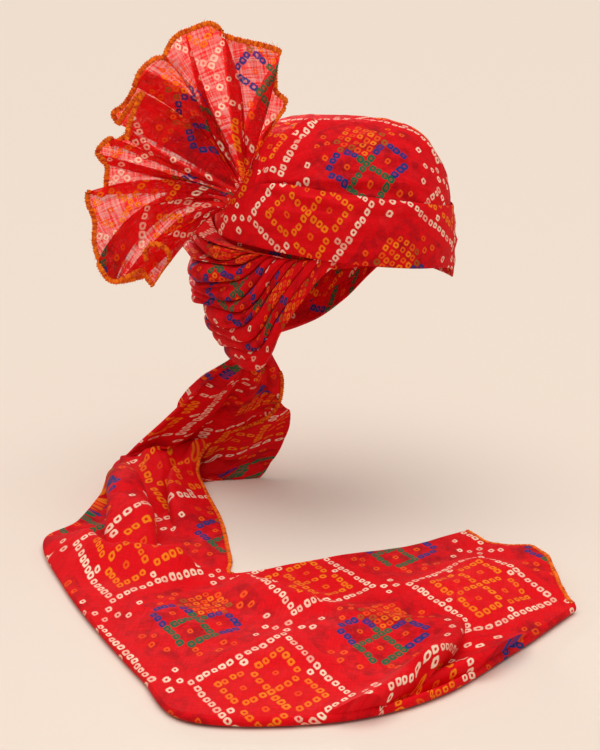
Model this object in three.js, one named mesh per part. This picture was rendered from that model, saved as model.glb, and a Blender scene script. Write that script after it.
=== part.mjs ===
// A tied bandhani turban: an inner crown cap, a crown wrap drawn over it, a brow band, gathered rolls
// round the back of the head, a pleated fan standing behind, and a long tail that falls to the table.
// Millimetres and degrees, +Z up. The origin is the middle of the head opening at the brow,
// +X points out through the brow and +Y to the wearer's left.
import * as THREE from "three";

// Head form that the cloth is wound on
const HEAD_LENGTH = 206;
const HEAD_BREADTH = 168;
const CROWN_RISE = 114;
const NAPE_DROP = 126;
const HEAD_CENTRE = new THREE.Vector3(0, 0, 8);
const PLAN_POWER = 2.2;
const CROWN_POWER = 3;
const NAPE_POWER = 2.2;

// Cloth walls: each stands for a few wound plies
const WALL = 2;
const WALL_GAP = 1.2;
const FAN_WALL = 1.6;
const TAIL_WALL = 1.6;

// The fan and the tail are laid out along axes turned this far from the brow
const DISPLAY_TURN = 20;
const TABLE_Z = -228;

const CLOTH_RED = new THREE.MeshStandardMaterial({ color: 0xc8141c, roughness: 0.85, metalness: 0 });
const SHEER_RED = new THREE.MeshStandardMaterial({ color: 0xd8323a, roughness: 0.8, metalness: 0 });

// Lower edge of the cap and of the crown wrap, by bearing from the brow.
// The wrap's edge climbs steeply behind the wearer's right ear, where the fan comes out.
const CAP_EDGE = [
  { bearing: -180, height: 28 },
  { bearing: -140, height: 18 },
  { bearing: -105, height: 10 },
  { bearing: -70, height: 10 },
  { bearing: -33, height: 17 },
  { bearing: 0, height: 9 },
  { bearing: 30, height: -2 },
  { bearing: 70, height: -6 },
  { bearing: 105, height: 2 },
  { bearing: 140, height: 20 },
  { bearing: 180, height: 28 },
];
const WRAP_EDGE = [
  { bearing: -180, height: 112 },
  { bearing: -150, height: 114 },
  { bearing: -132, height: 110 },
  { bearing: -122, height: 92 },
  { bearing: -115, height: 66 },
  { bearing: -108, height: 44 },
  { bearing: -90, height: 40 },
  { bearing: -40, height: 28 },
  { bearing: 0, height: 18 },
  { bearing: 60, height: 14 },
  { bearing: 100, height: 30 },
  { bearing: 135, height: 52 },
  { bearing: 160, height: 84 },
  { bearing: 180, height: 112 },
];
const WRAP_LIP = { bearing: -116, height: 70, rise: 4, spread: 34 };

// Edges of the brow band: high behind the right ear, low over the left temple
const BAND_EDGES = [
  { bearing: -138, low: 29, high: 40 },
  { bearing: -128, low: 27, high: 54 },
  { bearing: -110, low: 24, high: 72 },
  { bearing: -70, low: 17, high: 70 },
  { bearing: -33, low: 10, high: 63 },
  { bearing: 0, low: 1, high: 53 },
  { bearing: 18, low: -13, high: 50 },
  { bearing: 60, low: -10, high: 47 },
  { bearing: 100, low: 12, high: 49 },
  { bearing: 130, low: 32, high: 52 },
  { bearing: 152, low: 44, high: 53 },
];

// The band of gathered rolls round the back, by turn from the right temple (0) to the left (1)
const ROLL_SWEEP = { start: -68, end: -286 };
const ROLL_BAND = [
  { turn: 0.0, top: 26, bottom: 15, depth: 2.0 },
  { turn: 0.04, top: 20, bottom: 3, depth: 2.6 },
  { turn: 0.09, top: 17, bottom: -18, depth: 4.5 },
  { turn: 0.16, top: 19, bottom: -46, depth: 9 },
  { turn: 0.25, top: 22, bottom: -67, depth: 15 },
  { turn: 0.33, top: 26, bottom: -75, depth: 20 },
  { turn: 0.42, top: 36, bottom: -78, depth: 24 },
  { turn: 0.52, top: 40, bottom: -79, depth: 26 },
  { turn: 0.64, top: 36, bottom: -77, depth: 23 },
  { turn: 0.78, top: 20, bottom: -69, depth: 14 },
  { turn: 0.88, top: 6, bottom: -50, depth: 8 },
  { turn: 0.95, top: -8, bottom: -28, depth: 3.4 },
  { turn: 1.0, top: -2, bottom: -12, depth: 2.0 },
];
// Each roll's share of the band's height and how far it swells past the band's depth
const ROLLS = [
  { share: 1.1, swell: 0.86 },
  { share: 1.0, swell: 1.0 },
  { share: 0.85, swell: 1.08 },
  { share: 1.1, swell: 1.06 },
  { share: 0.9, swell: 1.02 },
  { share: 1.15, swell: 0.96 },
  { share: 0.85, swell: 0.84 },
  { share: 1.2, swell: 0.78 },
  { share: 1.05, swell: 0.66 },
  { share: 1.25, swell: 0.62 },
];
const ROLL_GAP = 0.5;
const ROLL_STEPS = 20;
// Half-round section of a roll: across its height, and out from the head
const ROLL_SECTION = [
  { across: 0.0, out: 0.0 },
  { across: 1.0, out: 0.0 },
  { across: 1.0, out: 0.62 },
  { across: 0.8, out: 0.9 },
  { across: 0.5, out: 1.0 },
  { across: 0.2, out: 0.9 },
  { across: 0.0, out: 0.62 },
];

// Fold lines of the fan, from its front edge round to its hanging corner: bearing in the fan's plane,
// reach from its gather, and how far the fold stands towards the viewer
const FAN_GATHER = { along: -82, away: -52, height: 56 };
const FAN_LEAN = 6;
const FAN_FOLDS = [
  { bearing: 70, reach: 92, stand: 4 },
  { bearing: 72, reach: 112, stand: 2 },
  { bearing: 74, reach: 132, stand: 8 },
  { bearing: 86, reach: 137, stand: -2 },
  { bearing: 95, reach: 148, stand: 10 },
  { bearing: 101, reach: 160, stand: -4 },
  { bearing: 112, reach: 154, stand: -2 },
  { bearing: 118, reach: 136, stand: -14 },
  { bearing: 122, reach: 143, stand: 4 },
  { bearing: 129, reach: 137, stand: -6 },
  { bearing: 132, reach: 126, stand: 14 },
  { bearing: 141, reach: 124, stand: -12 },
  { bearing: 150, reach: 113, stand: -4 },
  { bearing: 152, reach: 124, stand: 12 },
  { bearing: 162, reach: 120, stand: -4 },
  { bearing: 171, reach: 112, stand: -10 },
  { bearing: 176, reach: 125, stand: 12 },
  { bearing: 184, reach: 118, stand: -4 },
  { bearing: 193, reach: 122, stand: 6 },
  { bearing: 203, reach: 126, stand: -6 },
  { bearing: 212, reach: 123, stand: 4 },
  { bearing: 221, reach: 105, stand: -8 },
];
const FAN_BASE = { bearing: [-124, -143], height: [86, 42], lift: 3.8 };
const FAN_ROWS = 7;

// Cross-sections of the tail, from the nape to its free end. hem is its inner edge and fold its outer,
// doubled edge, each along the display, away from the viewer, and above the table; crest is how high
// the cloth swells between them, bend the radius of the doubled edge, and under how far the cloth
// runs back beneath itself as a share of the width.
const TAIL_SECTIONS = [
  { length: 0.0, hem: [-70.3, 49.2, 158], fold: [-82.8, 8, 158], crest: 0, bend: 1.3, under: 0.2 },
  { length: 0.03, hem: [-62, 44, 145], fold: [-76, 7, 145], crest: 0, bend: 1.3, under: 0.2 },
  { length: 0.07, hem: [-54, 54, 128], fold: [-88, 14, 128], crest: 2, bend: 1.6, under: 0.3 },
  { length: 0.12, hem: [-46, 66, 101], fold: [-116, 42, 98], crest: 4, bend: 2.4, under: 0.6 },
  { length: 0.19, hem: [-62, 78, 68], fold: [-154, 76, 54], crest: 6, bend: 3, under: 1.0 },
  { length: 0.26, hem: [-116, 84, 34], fold: [-205, 112, 3], crest: 10, bend: 3, under: 1.3 },
  { length: 0.33, hem: [-121, 58, 13], fold: [-204, 62, 3], crest: 14, bend: 3, under: 1.0 },
  { length: 0.4, hem: [-110, 18, 5], fold: [-224, -52, 1.6], crest: 12, bend: 3, under: 0.5 },
  { length: 0.46, hem: [-99, -32, 2], fold: [-245, -110, 1.6], crest: 9, bend: 3, under: 0.24 },
  { length: 0.53, hem: [-92, -92, 1.6], fold: [-214, -194, 1.6], crest: 6, bend: 3, under: 0.24 },
  { length: 0.6, hem: [-87, -142, 1.6], fold: [-180, -290, 1.6], crest: 5, bend: 3.2, under: 0.24 },
  { length: 0.66, hem: [-68, -164, 1.6], fold: [-143, -378, 1.6], crest: 5, bend: 3.4, under: 0.24 },
  { length: 0.72, hem: [-38, -156, 1.6], fold: [-103, -440, 1.6], crest: 5, bend: 3.6, under: 0.24 },
  { length: 0.79, hem: [15, -132, 1.6], fold: [-4, -440, 1.6], crest: 7, bend: 4, under: 0.24 },
  { length: 0.86, hem: [60, -112, 1.6], fold: [84, -408, 1.6], crest: 9, bend: 5, under: 0.24 },
  { length: 0.93, hem: [96, -88, 1.6], fold: [150, -338, 1.6], crest: 8, bend: 5, under: 0.24 },
  { length: 1.0, hem: [120, -68, 1.6], fold: [190, -244, 1.6], crest: 5, bend: 4, under: 0.24 },
];
// Soft ridges on the tail, each from one place to another given as length and share of the width
const TAIL_RIDGES = [
  { from: [0.42, 0.9], to: [0.52, 0.25], height: 7, width: 0.045 },
  { from: [0.93, 0.15], to: [0.79, 0.9], height: 9, width: 0.05 },
  { from: [0.99, 0.7], to: [0.86, 0.94], height: 6, width: 0.03 },
];
const TAIL_STEPS = 40;
const TAIL_ACROSS = 13;
const TAIL_UNDER = 5;
const TAIL_BEND_STEPS = 2;
const TAIL_END_BOW = 36;

// Smooth curve through the named columns of a table
function column(table, key, value) {
  const x = table.map((row) => row[key]);
  const y = table.map((row) => row[value]);
  const slope = x.map((_, i) => {
    const before = Math.max(i - 1, 0);
    const after = Math.min(i + 1, x.length - 1);
    return (y[after] - y[before]) / (x[after] - x[before]);
  });
  return (at) => {
    const clamped = THREE.MathUtils.clamp(at, x[0], x[x.length - 1]);
    const next = Math.max(1, x.findIndex((edge) => edge >= clamped));
    const i = next - 1;
    const span = x[next] - x[i];
    const t = (clamped - x[i]) / span;
    const rise = t * t * (3 - 2 * t);
    return y[i] + (y[next] - y[i]) * rise
      + span * (slope[i] * t * (1 - t) ** 2 - slope[next] * t ** 2 * (1 - t));
  };
}

// Plan radius of the head form, at a bearing and a height above the brow
function headPlanRadius(bearing, height) {
  const a = THREE.MathUtils.degToRad(bearing);
  const plan = (2 * Math.abs(Math.cos(a)) / HEAD_LENGTH) ** PLAN_POWER
    + (2 * Math.abs(Math.sin(a)) / HEAD_BREADTH) ** PLAN_POWER;
  const above = height - HEAD_CENTRE.z;
  const rise = above > 0 ? CROWN_RISE : NAPE_DROP;
  const power = above > 0 ? CROWN_POWER : NAPE_POWER;
  const narrowing = Math.max(0, 1 - (Math.abs(above) / rise) ** power) ** (1 / power);
  return narrowing * plan ** (-1 / PLAN_POWER);
}

// Point on the head form at a bearing and height, lifted outwards from the head centre
function onHead(bearing, height, lift) {
  const a = THREE.MathUtils.degToRad(bearing);
  const radius = headPlanRadius(bearing, height);
  const base = new THREE.Vector3(radius * Math.cos(a), radius * Math.sin(a), height);
  const outward = base.clone().sub(HEAD_CENTRE).normalize();
  return base.addScaledVector(outward, lift);
}

// Point on the head form part of the way from an edge (0) to the top of the crown (1)
function onCrown(bearing, edge, share, lift) {
  const top = HEAD_CENTRE.z + CROWN_RISE;
  const low = headAngle(edge);
  const angle = low + (Math.PI / 2 - low) * share;
  const height = HEAD_CENTRE.z + CROWN_RISE * Math.sin(angle) ** (2 / CROWN_POWER);
  return onHead(bearing, Math.min(height, top - 1e-9), lift);
}

function headAngle(height) {
  const share = (height - HEAD_CENTRE.z) / CROWN_RISE;
  return Math.asin(THREE.MathUtils.clamp(share, 0, 1) ** (CROWN_POWER / 2));
}

// A closed solid from points and triangles, with shared corners merged and its faces turned outwards
function solid(name, triangles, material) {
  const index = new Map();
  const position = [];
  const faces = [];
  const corner = (p) => {
    const key = [p.x, p.y, p.z].map((v) => Math.round(v * 1e3)).join();
    if (!index.has(key)) {
      index.set(key, position.length / 3);
      position.push(p.x, p.y, p.z);
    }
    return index.get(key);
  };
  let volume = 0;
  for (const [a, b, c] of triangles) {
    const [i, j, k] = [corner(a), corner(b), corner(c)];
    if (i === j || j === k || k === i) continue;
    faces.push([i, j, k]);
    volume += a.dot(b.clone().cross(c));
  }
  const order = volume < 0 ? faces.map(([i, j, k]) => [i, k, j]) : faces;
  const geometry = new THREE.BufferGeometry();
  geometry.setAttribute("position", new THREE.Float32BufferAttribute(position, 3));
  geometry.setIndex(order.flat());
  geometry.computeVertexNormals();
  const mesh = new THREE.Mesh(geometry, material);
  mesh.name = name;
  return mesh;
}

function quad(a, b, c, d) {
  return [[a, b, c], [a, c, d]];
}

// A wall between two skins. skin(u, v, side) gives a point with side 0 inside and 1 outside.
function wall(name, acrossCount, downCount, skin, material, wraps = false) {
  const grid = [0, 1].map((side) =>
    Array.from({ length: acrossCount + 1 }, (_, i) =>
      Array.from({ length: downCount + 1 }, (__, j) => skin(i / acrossCount, j / downCount, side))));
  const [inner, outer] = grid;
  const triangles = [];
  for (let i = 0; i < acrossCount; i += 1) {
    for (let j = 0; j < downCount; j += 1) {
      triangles.push(...quad(outer[i][j], outer[i + 1][j], outer[i + 1][j + 1], outer[i][j + 1]));
      triangles.push(...quad(inner[i][j], inner[i][j + 1], inner[i + 1][j + 1], inner[i + 1][j]));
    }
    for (const [j, flip] of [[0, true], [downCount, false]]) {
      const rim = [outer[i][j], outer[i + 1][j], inner[i + 1][j], inner[i][j]];
      triangles.push(...quad(...(flip ? rim.reverse() : rim)));
    }
  }
  if (!wraps) {
    for (let j = 0; j < downCount; j += 1) {
      const start = [outer[0][j], outer[0][j + 1], inner[0][j + 1], inner[0][j]];
      const last = acrossCount;
      const end = [outer[last][j + 1], outer[last][j], inner[last][j], inner[last][j + 1]];
      triangles.push(...quad(...start), ...quad(...end));
    }
  }
  return solid(name, triangles, material);
}

// A solid lofted through closed rings of points, with flat ends
function loft(name, rings, material) {
  const triangles = [];
  const count = rings[0].length;
  for (let i = 0; i + 1 < rings.length; i += 1) {
    for (let j = 0; j < count; j += 1) {
      const k = (j + 1) % count;
      triangles.push(...quad(rings[i][j], rings[i + 1][j], rings[i + 1][k], rings[i][k]));
    }
  }
  for (let j = 1; j + 1 < count; j += 1) {
    const first = rings[0];
    const last = rings[rings.length - 1];
    triangles.push([first[0], first[j], first[j + 1]], [last[0], last[j + 1], last[j]]);
  }
  return solid(name, triangles, material);
}

function crownCap() {
  const edge = column(CAP_EDGE, "bearing", "height");
  const skin = (u, v, side) => {
    const bearing = -180 + 360 * u;
    return onCrown(bearing, edge(bearing), v, side * WALL);
  };
  return wall("crown_cap", 32, 10, skin, CLOTH_RED, true);
}

// Angular closeness of a place on the crown to the lip over the fan's gather, from 0 to 1
function lipShare(bearing, height) {
  const turn = Math.abs(((bearing - WRAP_LIP.bearing + 540) % 360) - 180);
  const climb = height - WRAP_LIP.height;
  return Math.exp(-((turn / WRAP_LIP.spread) ** 2) - (climb / (2 * WRAP_LIP.spread)) ** 2);
}

function crownWrap() {
  const edge = column(WRAP_EDGE, "bearing", "height");
  const inside = WALL + WALL_GAP;
  const skin = (u, v, side) => {
    const bearing = -180 + 360 * u;
    const plain = onCrown(bearing, edge(bearing), v, inside);
    const lip = WRAP_LIP.rise * lipShare(bearing, plain.z) * (1 - v) ** 2;
    return onCrown(bearing, edge(bearing), v, inside + lip + side * WALL);
  };
  return wall("crown_wrap", 45, 11, skin, CLOTH_RED, true);
}

function browBand() {
  const low = column(BAND_EDGES, "bearing", "low");
  const high = column(BAND_EDGES, "bearing", "high");
  const first = BAND_EDGES[0].bearing;
  const last = BAND_EDGES[BAND_EDGES.length - 1].bearing;
  const inside = 2 * (WALL + WALL_GAP);
  const skin = (u, v, side) => {
    const bearing = first + (last - first) * u;
    const height = low(bearing) + (high(bearing) - low(bearing)) * v;
    const lip = WRAP_LIP.rise * lipShare(bearing, height);
    return onHead(bearing, height, inside + lip + side * WALL);
  };
  return wall("brow_band", 40, 5, skin, CLOTH_RED);
}

function backRolls() {
  const top = column(ROLL_BAND, "turn", "top");
  const bottom = column(ROLL_BAND, "turn", "bottom");
  const depth = column(ROLL_BAND, "turn", "depth");
  const whole = ROLLS.reduce((sum, roll) => sum + roll.share, 0);
  const inside = WALL + WALL_GAP;
  let used = 0;
  return ROLLS.map((roll, number) => {
    const from = used / whole;
    used += roll.share;
    const to = used / whole;
    const rings = Array.from({ length: ROLL_STEPS + 1 }, (_, i) => {
      const turn = i / ROLL_STEPS;
      const bearing = ROLL_SWEEP.start + (ROLL_SWEEP.end - ROLL_SWEEP.start) * turn;
      const band = bottom(turn) - top(turn);
      const high = top(turn) + band * from - ROLL_GAP / 2;
      const low = top(turn) + band * to + ROLL_GAP / 2;
      const ends = Math.sin(Math.PI * turn) ** 0.5;
      const out = depth(turn) * (1 + (roll.swell - 1) * ends);
      return ROLL_SECTION.map((s) =>
        onHead(bearing, high + (low - high) * s.across, inside + out * s.out));
    });
    return loft(`back_roll_${number + 1}`, rings, CLOTH_RED);
  });
}

// Axes of the display: along it to the right, away from the viewer, and up
const UP = new THREE.Vector3(0, 0, 1);
const TURN = THREE.MathUtils.degToRad(DISPLAY_TURN);
const ALONG = new THREE.Vector3(1, 0, 0).applyAxisAngle(UP, TURN);
const AWAY = new THREE.Vector3(0, 1, 0).applyAxisAngle(UP, TURN);

function onDisplay(along, away, height) {
  return new THREE.Vector3(0, 0, height).addScaledVector(ALONG, along).addScaledVector(AWAY, away);
}

function fan() {
  const folds = FAN_FOLDS.map((fold, order) => ({ ...fold, order }));
  const bearingAt = column(folds, "order", "bearing");
  const reachAt = column(folds, "order", "reach");
  const standAt = column(folds, "order", "stand");
  const gather = onDisplay(FAN_GATHER.along, FAN_GATHER.away, FAN_GATHER.height);
  const lean = THREE.MathUtils.degToRad(FAN_LEAN);
  const facing = AWAY.clone().multiplyScalar(-Math.cos(lean)).addScaledVector(UP, Math.sin(lean));
  const rising = UP.clone().multiplyScalar(Math.cos(lean)).addScaledVector(AWAY, Math.sin(lean));
  const count = folds.length - 1;
  const skin = (u, v, side) => {
    const order = u * count;
    const angle = THREE.MathUtils.degToRad(bearingAt(order));
    const open = THREE.MathUtils.smoothstep(v, 0, 0.5);
    const base = onHead(
      THREE.MathUtils.lerp(...FAN_BASE.bearing, u),
      THREE.MathUtils.lerp(...FAN_BASE.height, u),
      FAN_BASE.lift,
    );
    const spread = gather.clone()
      .addScaledVector(ALONG, v * reachAt(order) * Math.cos(angle))
      .addScaledVector(rising, v * reachAt(order) * Math.sin(angle))
      .addScaledVector(facing, standAt(order) * v);
    return base.lerp(spread, open).addScaledVector(facing, (side - 0.5) * FAN_WALL);
  };
  return wall("fan", count * 2, FAN_ROWS, skin, SHEER_RED);
}

// Height added to the tail by its ridges
function tailRidges(length, share) {
  return TAIL_RIDGES.reduce((sum, ridge) => {
    const along = [ridge.to[0] - ridge.from[0], ridge.to[1] - ridge.from[1]];
    const place = [length - ridge.from[0], share - ridge.from[1]];
    const whole = Math.hypot(...along);
    const on = THREE.MathUtils.clamp((place[0] * along[0] + place[1] * along[1]) / whole ** 2, 0, 1);
    const off = Math.hypot(place[0] - on * along[0], place[1] - on * along[1]);
    return sum + ridge.height * Math.exp(-((off / ridge.width) ** 2)) * Math.sin(Math.PI * (0.1 + 0.8 * on));
  }, 0);
}

function tail() {
  const ends = ["hem", "fold"].flatMap((edge) => [0, 1, 2].map((axis) => `${edge}${axis}`));
  const flat = TAIL_SECTIONS.map((row) => {
    const named = { length: row.length, crest: row.crest, bend: row.bend, under: row.under };
    ends.forEach((name, i) => {
      named[name] = (i < 3 ? row.hem : row.fold)[i % 3];
    });
    return named;
  });
  const at = Object.fromEntries(
    [...ends, "crest", "bend", "under"].map((name) => [name, column(flat, "length", name)]),
  );
  const edge = (which, length) =>
    onDisplay(at[`${which}0`](length), at[`${which}1`](length), TABLE_Z + at[`${which}2`](length));
  const underStart = TAIL_ACROSS / (TAIL_ACROSS + TAIL_UNDER);
  const middle = (length) => {
    const clamped = THREE.MathUtils.clamp(length, 0, 1);
    return edge("fold", clamped).add(edge("hem", clamped));
  };
  const centre = (length, share) => {
    const hem = edge("hem", length);
    const fold = edge("fold", length);
    const onward = middle(length + 0.02).sub(middle(length - 0.02)).normalize();
    const across = fold.clone().sub(hem).normalize();
    const up = across.clone().cross(onward).normalize();
    if (up.z < 0) up.negate();
    const bend = at.bend(length);
    if (share <= underStart) {
      const s = share / underStart;
      const lift = 2 * bend * THREE.MathUtils.smoothstep(s, 0.2, 0.75);
      const swell = at.crest(length) * Math.sin(Math.PI * s) ** 2;
      const bow = TAIL_END_BOW * THREE.MathUtils.smoothstep(length, 0.85, 1)
        * THREE.MathUtils.smoothstep(s, 0.12, 0.45) * (1 - THREE.MathUtils.smoothstep(s, 0.5, 1));
      return hem.lerp(fold, s).addScaledVector(onward, bow)
        .addScaledVector(up, lift + swell + tailRidges(length, s));
    }
    const s = (share - underStart) / (1 - underStart) * TAIL_UNDER;
    const round = Math.PI * Math.min(1, s / TAIL_BEND_STEPS);
    const back = Math.max(0, s - TAIL_BEND_STEPS) / (TAIL_UNDER - TAIL_BEND_STEPS) * at.under(length);
    const floor = THREE.MathUtils.smoothstep(length, 0.14, 0.26);
    const inward = fold.clone().lerp(hem, back);
    inward.z = THREE.MathUtils.lerp(inward.z, fold.z, floor);
    return inward.addScaledVector(across, bend * Math.sin(round))
      .addScaledVector(up, bend * (1 + Math.cos(round)));
  };
  const skin = (u, v, side) => {
    const step = 0.004;
    const alongLength = centre(Math.min(1, u + step), v).sub(centre(Math.max(0, u - step), v));
    const acrossCloth = centre(u, Math.min(1, v + step)).sub(centre(u, Math.max(0, v - step)));
    const normal = acrossCloth.cross(alongLength).normalize();
    return centre(u, v).addScaledVector(normal, (side - 0.5) * TAIL_WALL);
  };
  return wall("tail", TAIL_STEPS, TAIL_ACROSS + TAIL_UNDER, skin, CLOTH_RED);
}

const turban = new THREE.Group();
turban.add(crownCap(), crownWrap(), browBand(), ...backRolls(), fan(), tail());

export default turban;
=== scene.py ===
import math

import bpy
import numpy as np
from mathutils import Matrix


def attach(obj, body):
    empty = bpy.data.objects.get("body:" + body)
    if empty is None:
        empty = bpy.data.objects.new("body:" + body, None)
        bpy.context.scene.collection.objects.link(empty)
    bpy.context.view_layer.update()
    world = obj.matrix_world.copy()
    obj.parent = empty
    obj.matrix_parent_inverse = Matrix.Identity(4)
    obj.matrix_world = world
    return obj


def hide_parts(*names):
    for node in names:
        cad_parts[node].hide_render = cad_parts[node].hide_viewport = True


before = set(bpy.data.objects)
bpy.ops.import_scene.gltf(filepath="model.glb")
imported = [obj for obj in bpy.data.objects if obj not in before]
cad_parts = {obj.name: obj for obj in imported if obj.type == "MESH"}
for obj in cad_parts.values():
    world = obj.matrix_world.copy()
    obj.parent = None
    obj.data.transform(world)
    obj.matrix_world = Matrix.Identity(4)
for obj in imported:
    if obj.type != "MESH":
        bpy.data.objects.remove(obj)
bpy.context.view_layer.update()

# A tied bandhani turban: crown cap, crown wrap, brow band, gathered back rolls, a sheer pleated fan
# and a long tail that lies on the table. Shapes are worked out in millimetres and degrees in the
# part's own frame, and written to the meshes in metres. Bearings run round the crown from the brow.
MM = 0.001


def table(columns, *rows):
    """Named columns of a short table."""
    return dict(zip(columns.split(), np.array(rows, float).T))


# Sizes and places, in the frame of the solids

OPENING_LENGTH, OPENING_BREADTH, CROWN_RISE, NAPE_DROP = 206, 168, 114, 126
CROWN_CENTRE = np.array([0.0, 0.0, 8.0])
PLAN_POWER, CROWN_POWER, NAPE_POWER = 2.2, 3, 2.2
TABLE_TURN = math.radians(20)
TABLE_Z = -228

CAP_EDGE = table("bearing height", (-180, 28), (-140, 18), (-105, 10), (-70, 10), (-33, 17), (0, 9),
                 (30, -2), (70, -6), (105, 2), (140, 20), (180, 28))
WRAP_EDGE = table("bearing height", (-180, 112), (-150, 114), (-132, 110), (-122, 92), (-115, 66),
                  (-108, 44), (-90, 40), (-40, 28), (0, 18), (60, 14), (100, 30), (135, 52),
                  (160, 84), (180, 112))
WRAP_LIP = dict(bearing=-116, height=70, rise=4, spread=34)
BAND_EDGES = table("bearing low high", (-138, 29, 40), (-128, 27, 54), (-110, 24, 72), (-70, 17, 70),
                   (-33, 10, 63), (0, 1, 53), (18, -13, 50), (60, -10, 47), (100, 12, 49),
                   (130, 32, 52), (152, 44, 53))
ROLL_BAND = table("turn top bottom depth", (0, 26, 15, 2), (.04, 20, 3, 2.6), (.09, 17, -18, 4.5),
                  (.16, 19, -48, 9), (.2, 20, -66, 12), (.25, 22, -78, 15), (.33, 26, -81, 20),
                  (.42, 36, -80, 24), (.52, 40, -79, 26), (.64, 36, -77, 23), (.78, 20, -69, 14),
                  (.88, 11, -50, 8), (.95, 6, -28, 3.4), (1, 5, -12, 2))
# Share of the height, swell, and where the middle of a dyed medallion lies on each roll's flat cloth
ROLLS = table("share swell dyed_along dyed_up", (1.1, .86, 75, -30), (1, 1, 110, -28),
              (.85, 1.04, 70, -30), (1.1, .98, 118, -8), (.9, .9, 104, 0), (1.15, .84, 122, 6),
              (.85, .74, 92, -4), (1.2, .7, 66, -29), (1.05, .62, 96, 0), (1.25, .6, 62, -26))
ROLL_START, ROLL_END = -68, -286

# Fold lines of the fan in the order of its hem, from the corner behind its front edge round to its
# hanging corner: bearing and reach at the hem, how far the fold stands out to the front, and the
# tuck, how far it has slipped sideways half way in to the gather.
FAN_FOLDS = table(
    "bearing reach stand tuck",
    (66, 50, -7, 0), (61, 85, -8, 0), (69, 93, -9, 1), (73, 118, -8, 11), (72.6, 124, 2, -4),
    (85.5, 127, 4, -3), (91, 129.5, 1, -5), (95.6, 134.5, -4, -1), (95.2, 136, 4, -10),
    (99.7, 144, 3, -6), (107.2, 142, 1, 4), (107.8, 142, 6, -1), (112.7, 139, 5, -4),
    (117.4, 131, 7, -8), (118.6, 128, 8, -12), (117.6, 127.6, -5, -4), (121.5, 132.5, -2, -7),
    (128.3, 131, 2, -10), (134.3, 125, -2, -11), (127, 129, -7, -20), (141.3, 122, -10, -14),
    (147.4, 126, -13, -2), (150.5, 118, -12, -2), (133.2, 116, 9, -15), (143.6, 110, 9, -6),
    (153.8, 104, 7, 3), (150, 103, -4, 1), (158.9, 116, -5, 3), (156.1, 116.5, 6, 0.7),
    (163.6, 124, 1, 0.5), (168, 116, -5, 3), (164.2, 122, 5, 0.5), (170, 113, -2, 0),
    (177.1, 113, -5, -1), (181, 118, -6, -1), (179.5, 126.5, 8, -10), (184.4, 127.5, 5, -7),
    (186.9, 125.5, 5, -3), (190.9, 125, 0, -4), (199.4, 131, -3, -8), (207, 133, -5, -13),
    (216, 130, -6, -17), (206.4, 133.5, 4, -22), (211, 134, 4, -17), (216, 130, 2, -13),
    (222, 108, -6, 0), (217, 125, 6, -13), (219.2, 106, 4, -4), (223, 107, 2, -4),
    (227.3, 108, 3, -6), (226, 93, 6, -5), (223.5, 81, 9, -3), (218, 77, 13, -1),
    (213, 79.5, 16, 0), (210.5, 86, 17, 1), (211.5, 92, 15, 1), (216, 96.4, 13, 0))
# The folds are measured from a place a little above the gather
FAN_MIDDLE = dict(along=1.6, rise=12.5)
FAN_MEDALLION = dict(order=4.2, share=0.83)
FAN_GATHER = dict(along=-82, away=-52, height=56)
FAN_LEAN = math.radians(6)
FAN_BASE = dict(bearing=(-124, -143), height=(86, 42), lift=3.8)

# Cross-sections of the tail from the nape to its free end: its inner hem edge and its outer fold
# edge, each along the table, away across it and up from it, then the swell between them, the
# radius of the doubled edge and the share of the width that is folded back beneath.
TAIL_SECTIONS = table(
    "length hem_along hem_away hem_up fold_along fold_away fold_up crest bend under",
    (0, -70.3, 49.2, 158, -82.8, 8, 158, 0, 1.3, .2),
    (.03, -62, 44, 145, -76, 7, 145, 0, 1.3, .2),
    (.07, -54, 54, 128, -88, 14, 128, 2, 1.6, .3),
    (.12, -44, 66, 101, -116, 42, 98, 4, 2.4, .7),
    (.19, -56, 80, 64, -154, 76, 54, 6, 3, 1.2),
    (.26, -114, 84, 34, -205, 110, 3, 10, 3, 1.5),
    (.33, -121, 58, 13, -204, 62, 3, 14, 3, 1),
    (.4, -110, 18, 5, -222, -60, 1.6, 12, 3, .5),
    (.46, -99, -32, 2, -245, -110, 1.6, 9, 3, .24),
    (.53, -91, -92, 1.6, -217, -204, 1.6, 6, 2.6, .24),
    (.6, -85, -148, 1.6, -180, -294, 1.6, 5, 2.8, .24),
    (.65, -82, -175, 1.6, -142, -374, 1.6, 5, 3, .24),
    (.72, -34, -152, 1.6, -103, -443, 1.6, 5, 3.2, .24),
    (.79, 15, -132, 1.6, -6, -445, 1.6, 7, 3.4, .24),
    (.86, 60, -113, 1.6, 68, -406, 1.6, 8, 4, .24),
    (.93, 95, -93, 1.6, 130, -332, 1.6, 8, 4, .24),
    (1, 120, -76, 1.6, 186, -254, 1.6, 5, 3.4, .24))
TAIL_END_BOW = 32

# The dyed pattern: dots on a grid of this pitch in metres, and this many to the side of a cell
CELL = 15
DOT_PITCH = 0.0072
# Where a cell lies on a piece's flat cloth, its turn in degrees and how much smaller it is drawn
CAP_DYED = dict(at=(31, 17), cell="flower")
WRAP_DYED = dict(at=(13, -1), cell="medallion", turn=-14, scale=1.2)
BAND_DYED = dict(at=(-140, 53), cell="flower", turn=-8, scale=1.12)
FAN_DYED = dict(cell="medallion", turn=10, scale=1.05)
TAIL_DYED = dict(at=(-47.6, -274.2), cell="flower", turn=9, scale=1.08)
ROLL_DYED_TURN = 12


# Curves and noise

WAVE_LENGTHS = (0.7, 1.6)
CREASE_END = 0.08
CREASE_FADE = 3
PLEAT_STEP = 2.2
PLEAT_START, PLEAT_STOP = (-0.02, 0.12), (0.7, 1.02)


def smooth(x, low, high):
    """Eased step from 0 at low to 1 at high."""
    t = np.clip((x - low) / (high - low), 0, 1)
    return t * t * (3 - 2 * t)


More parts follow.
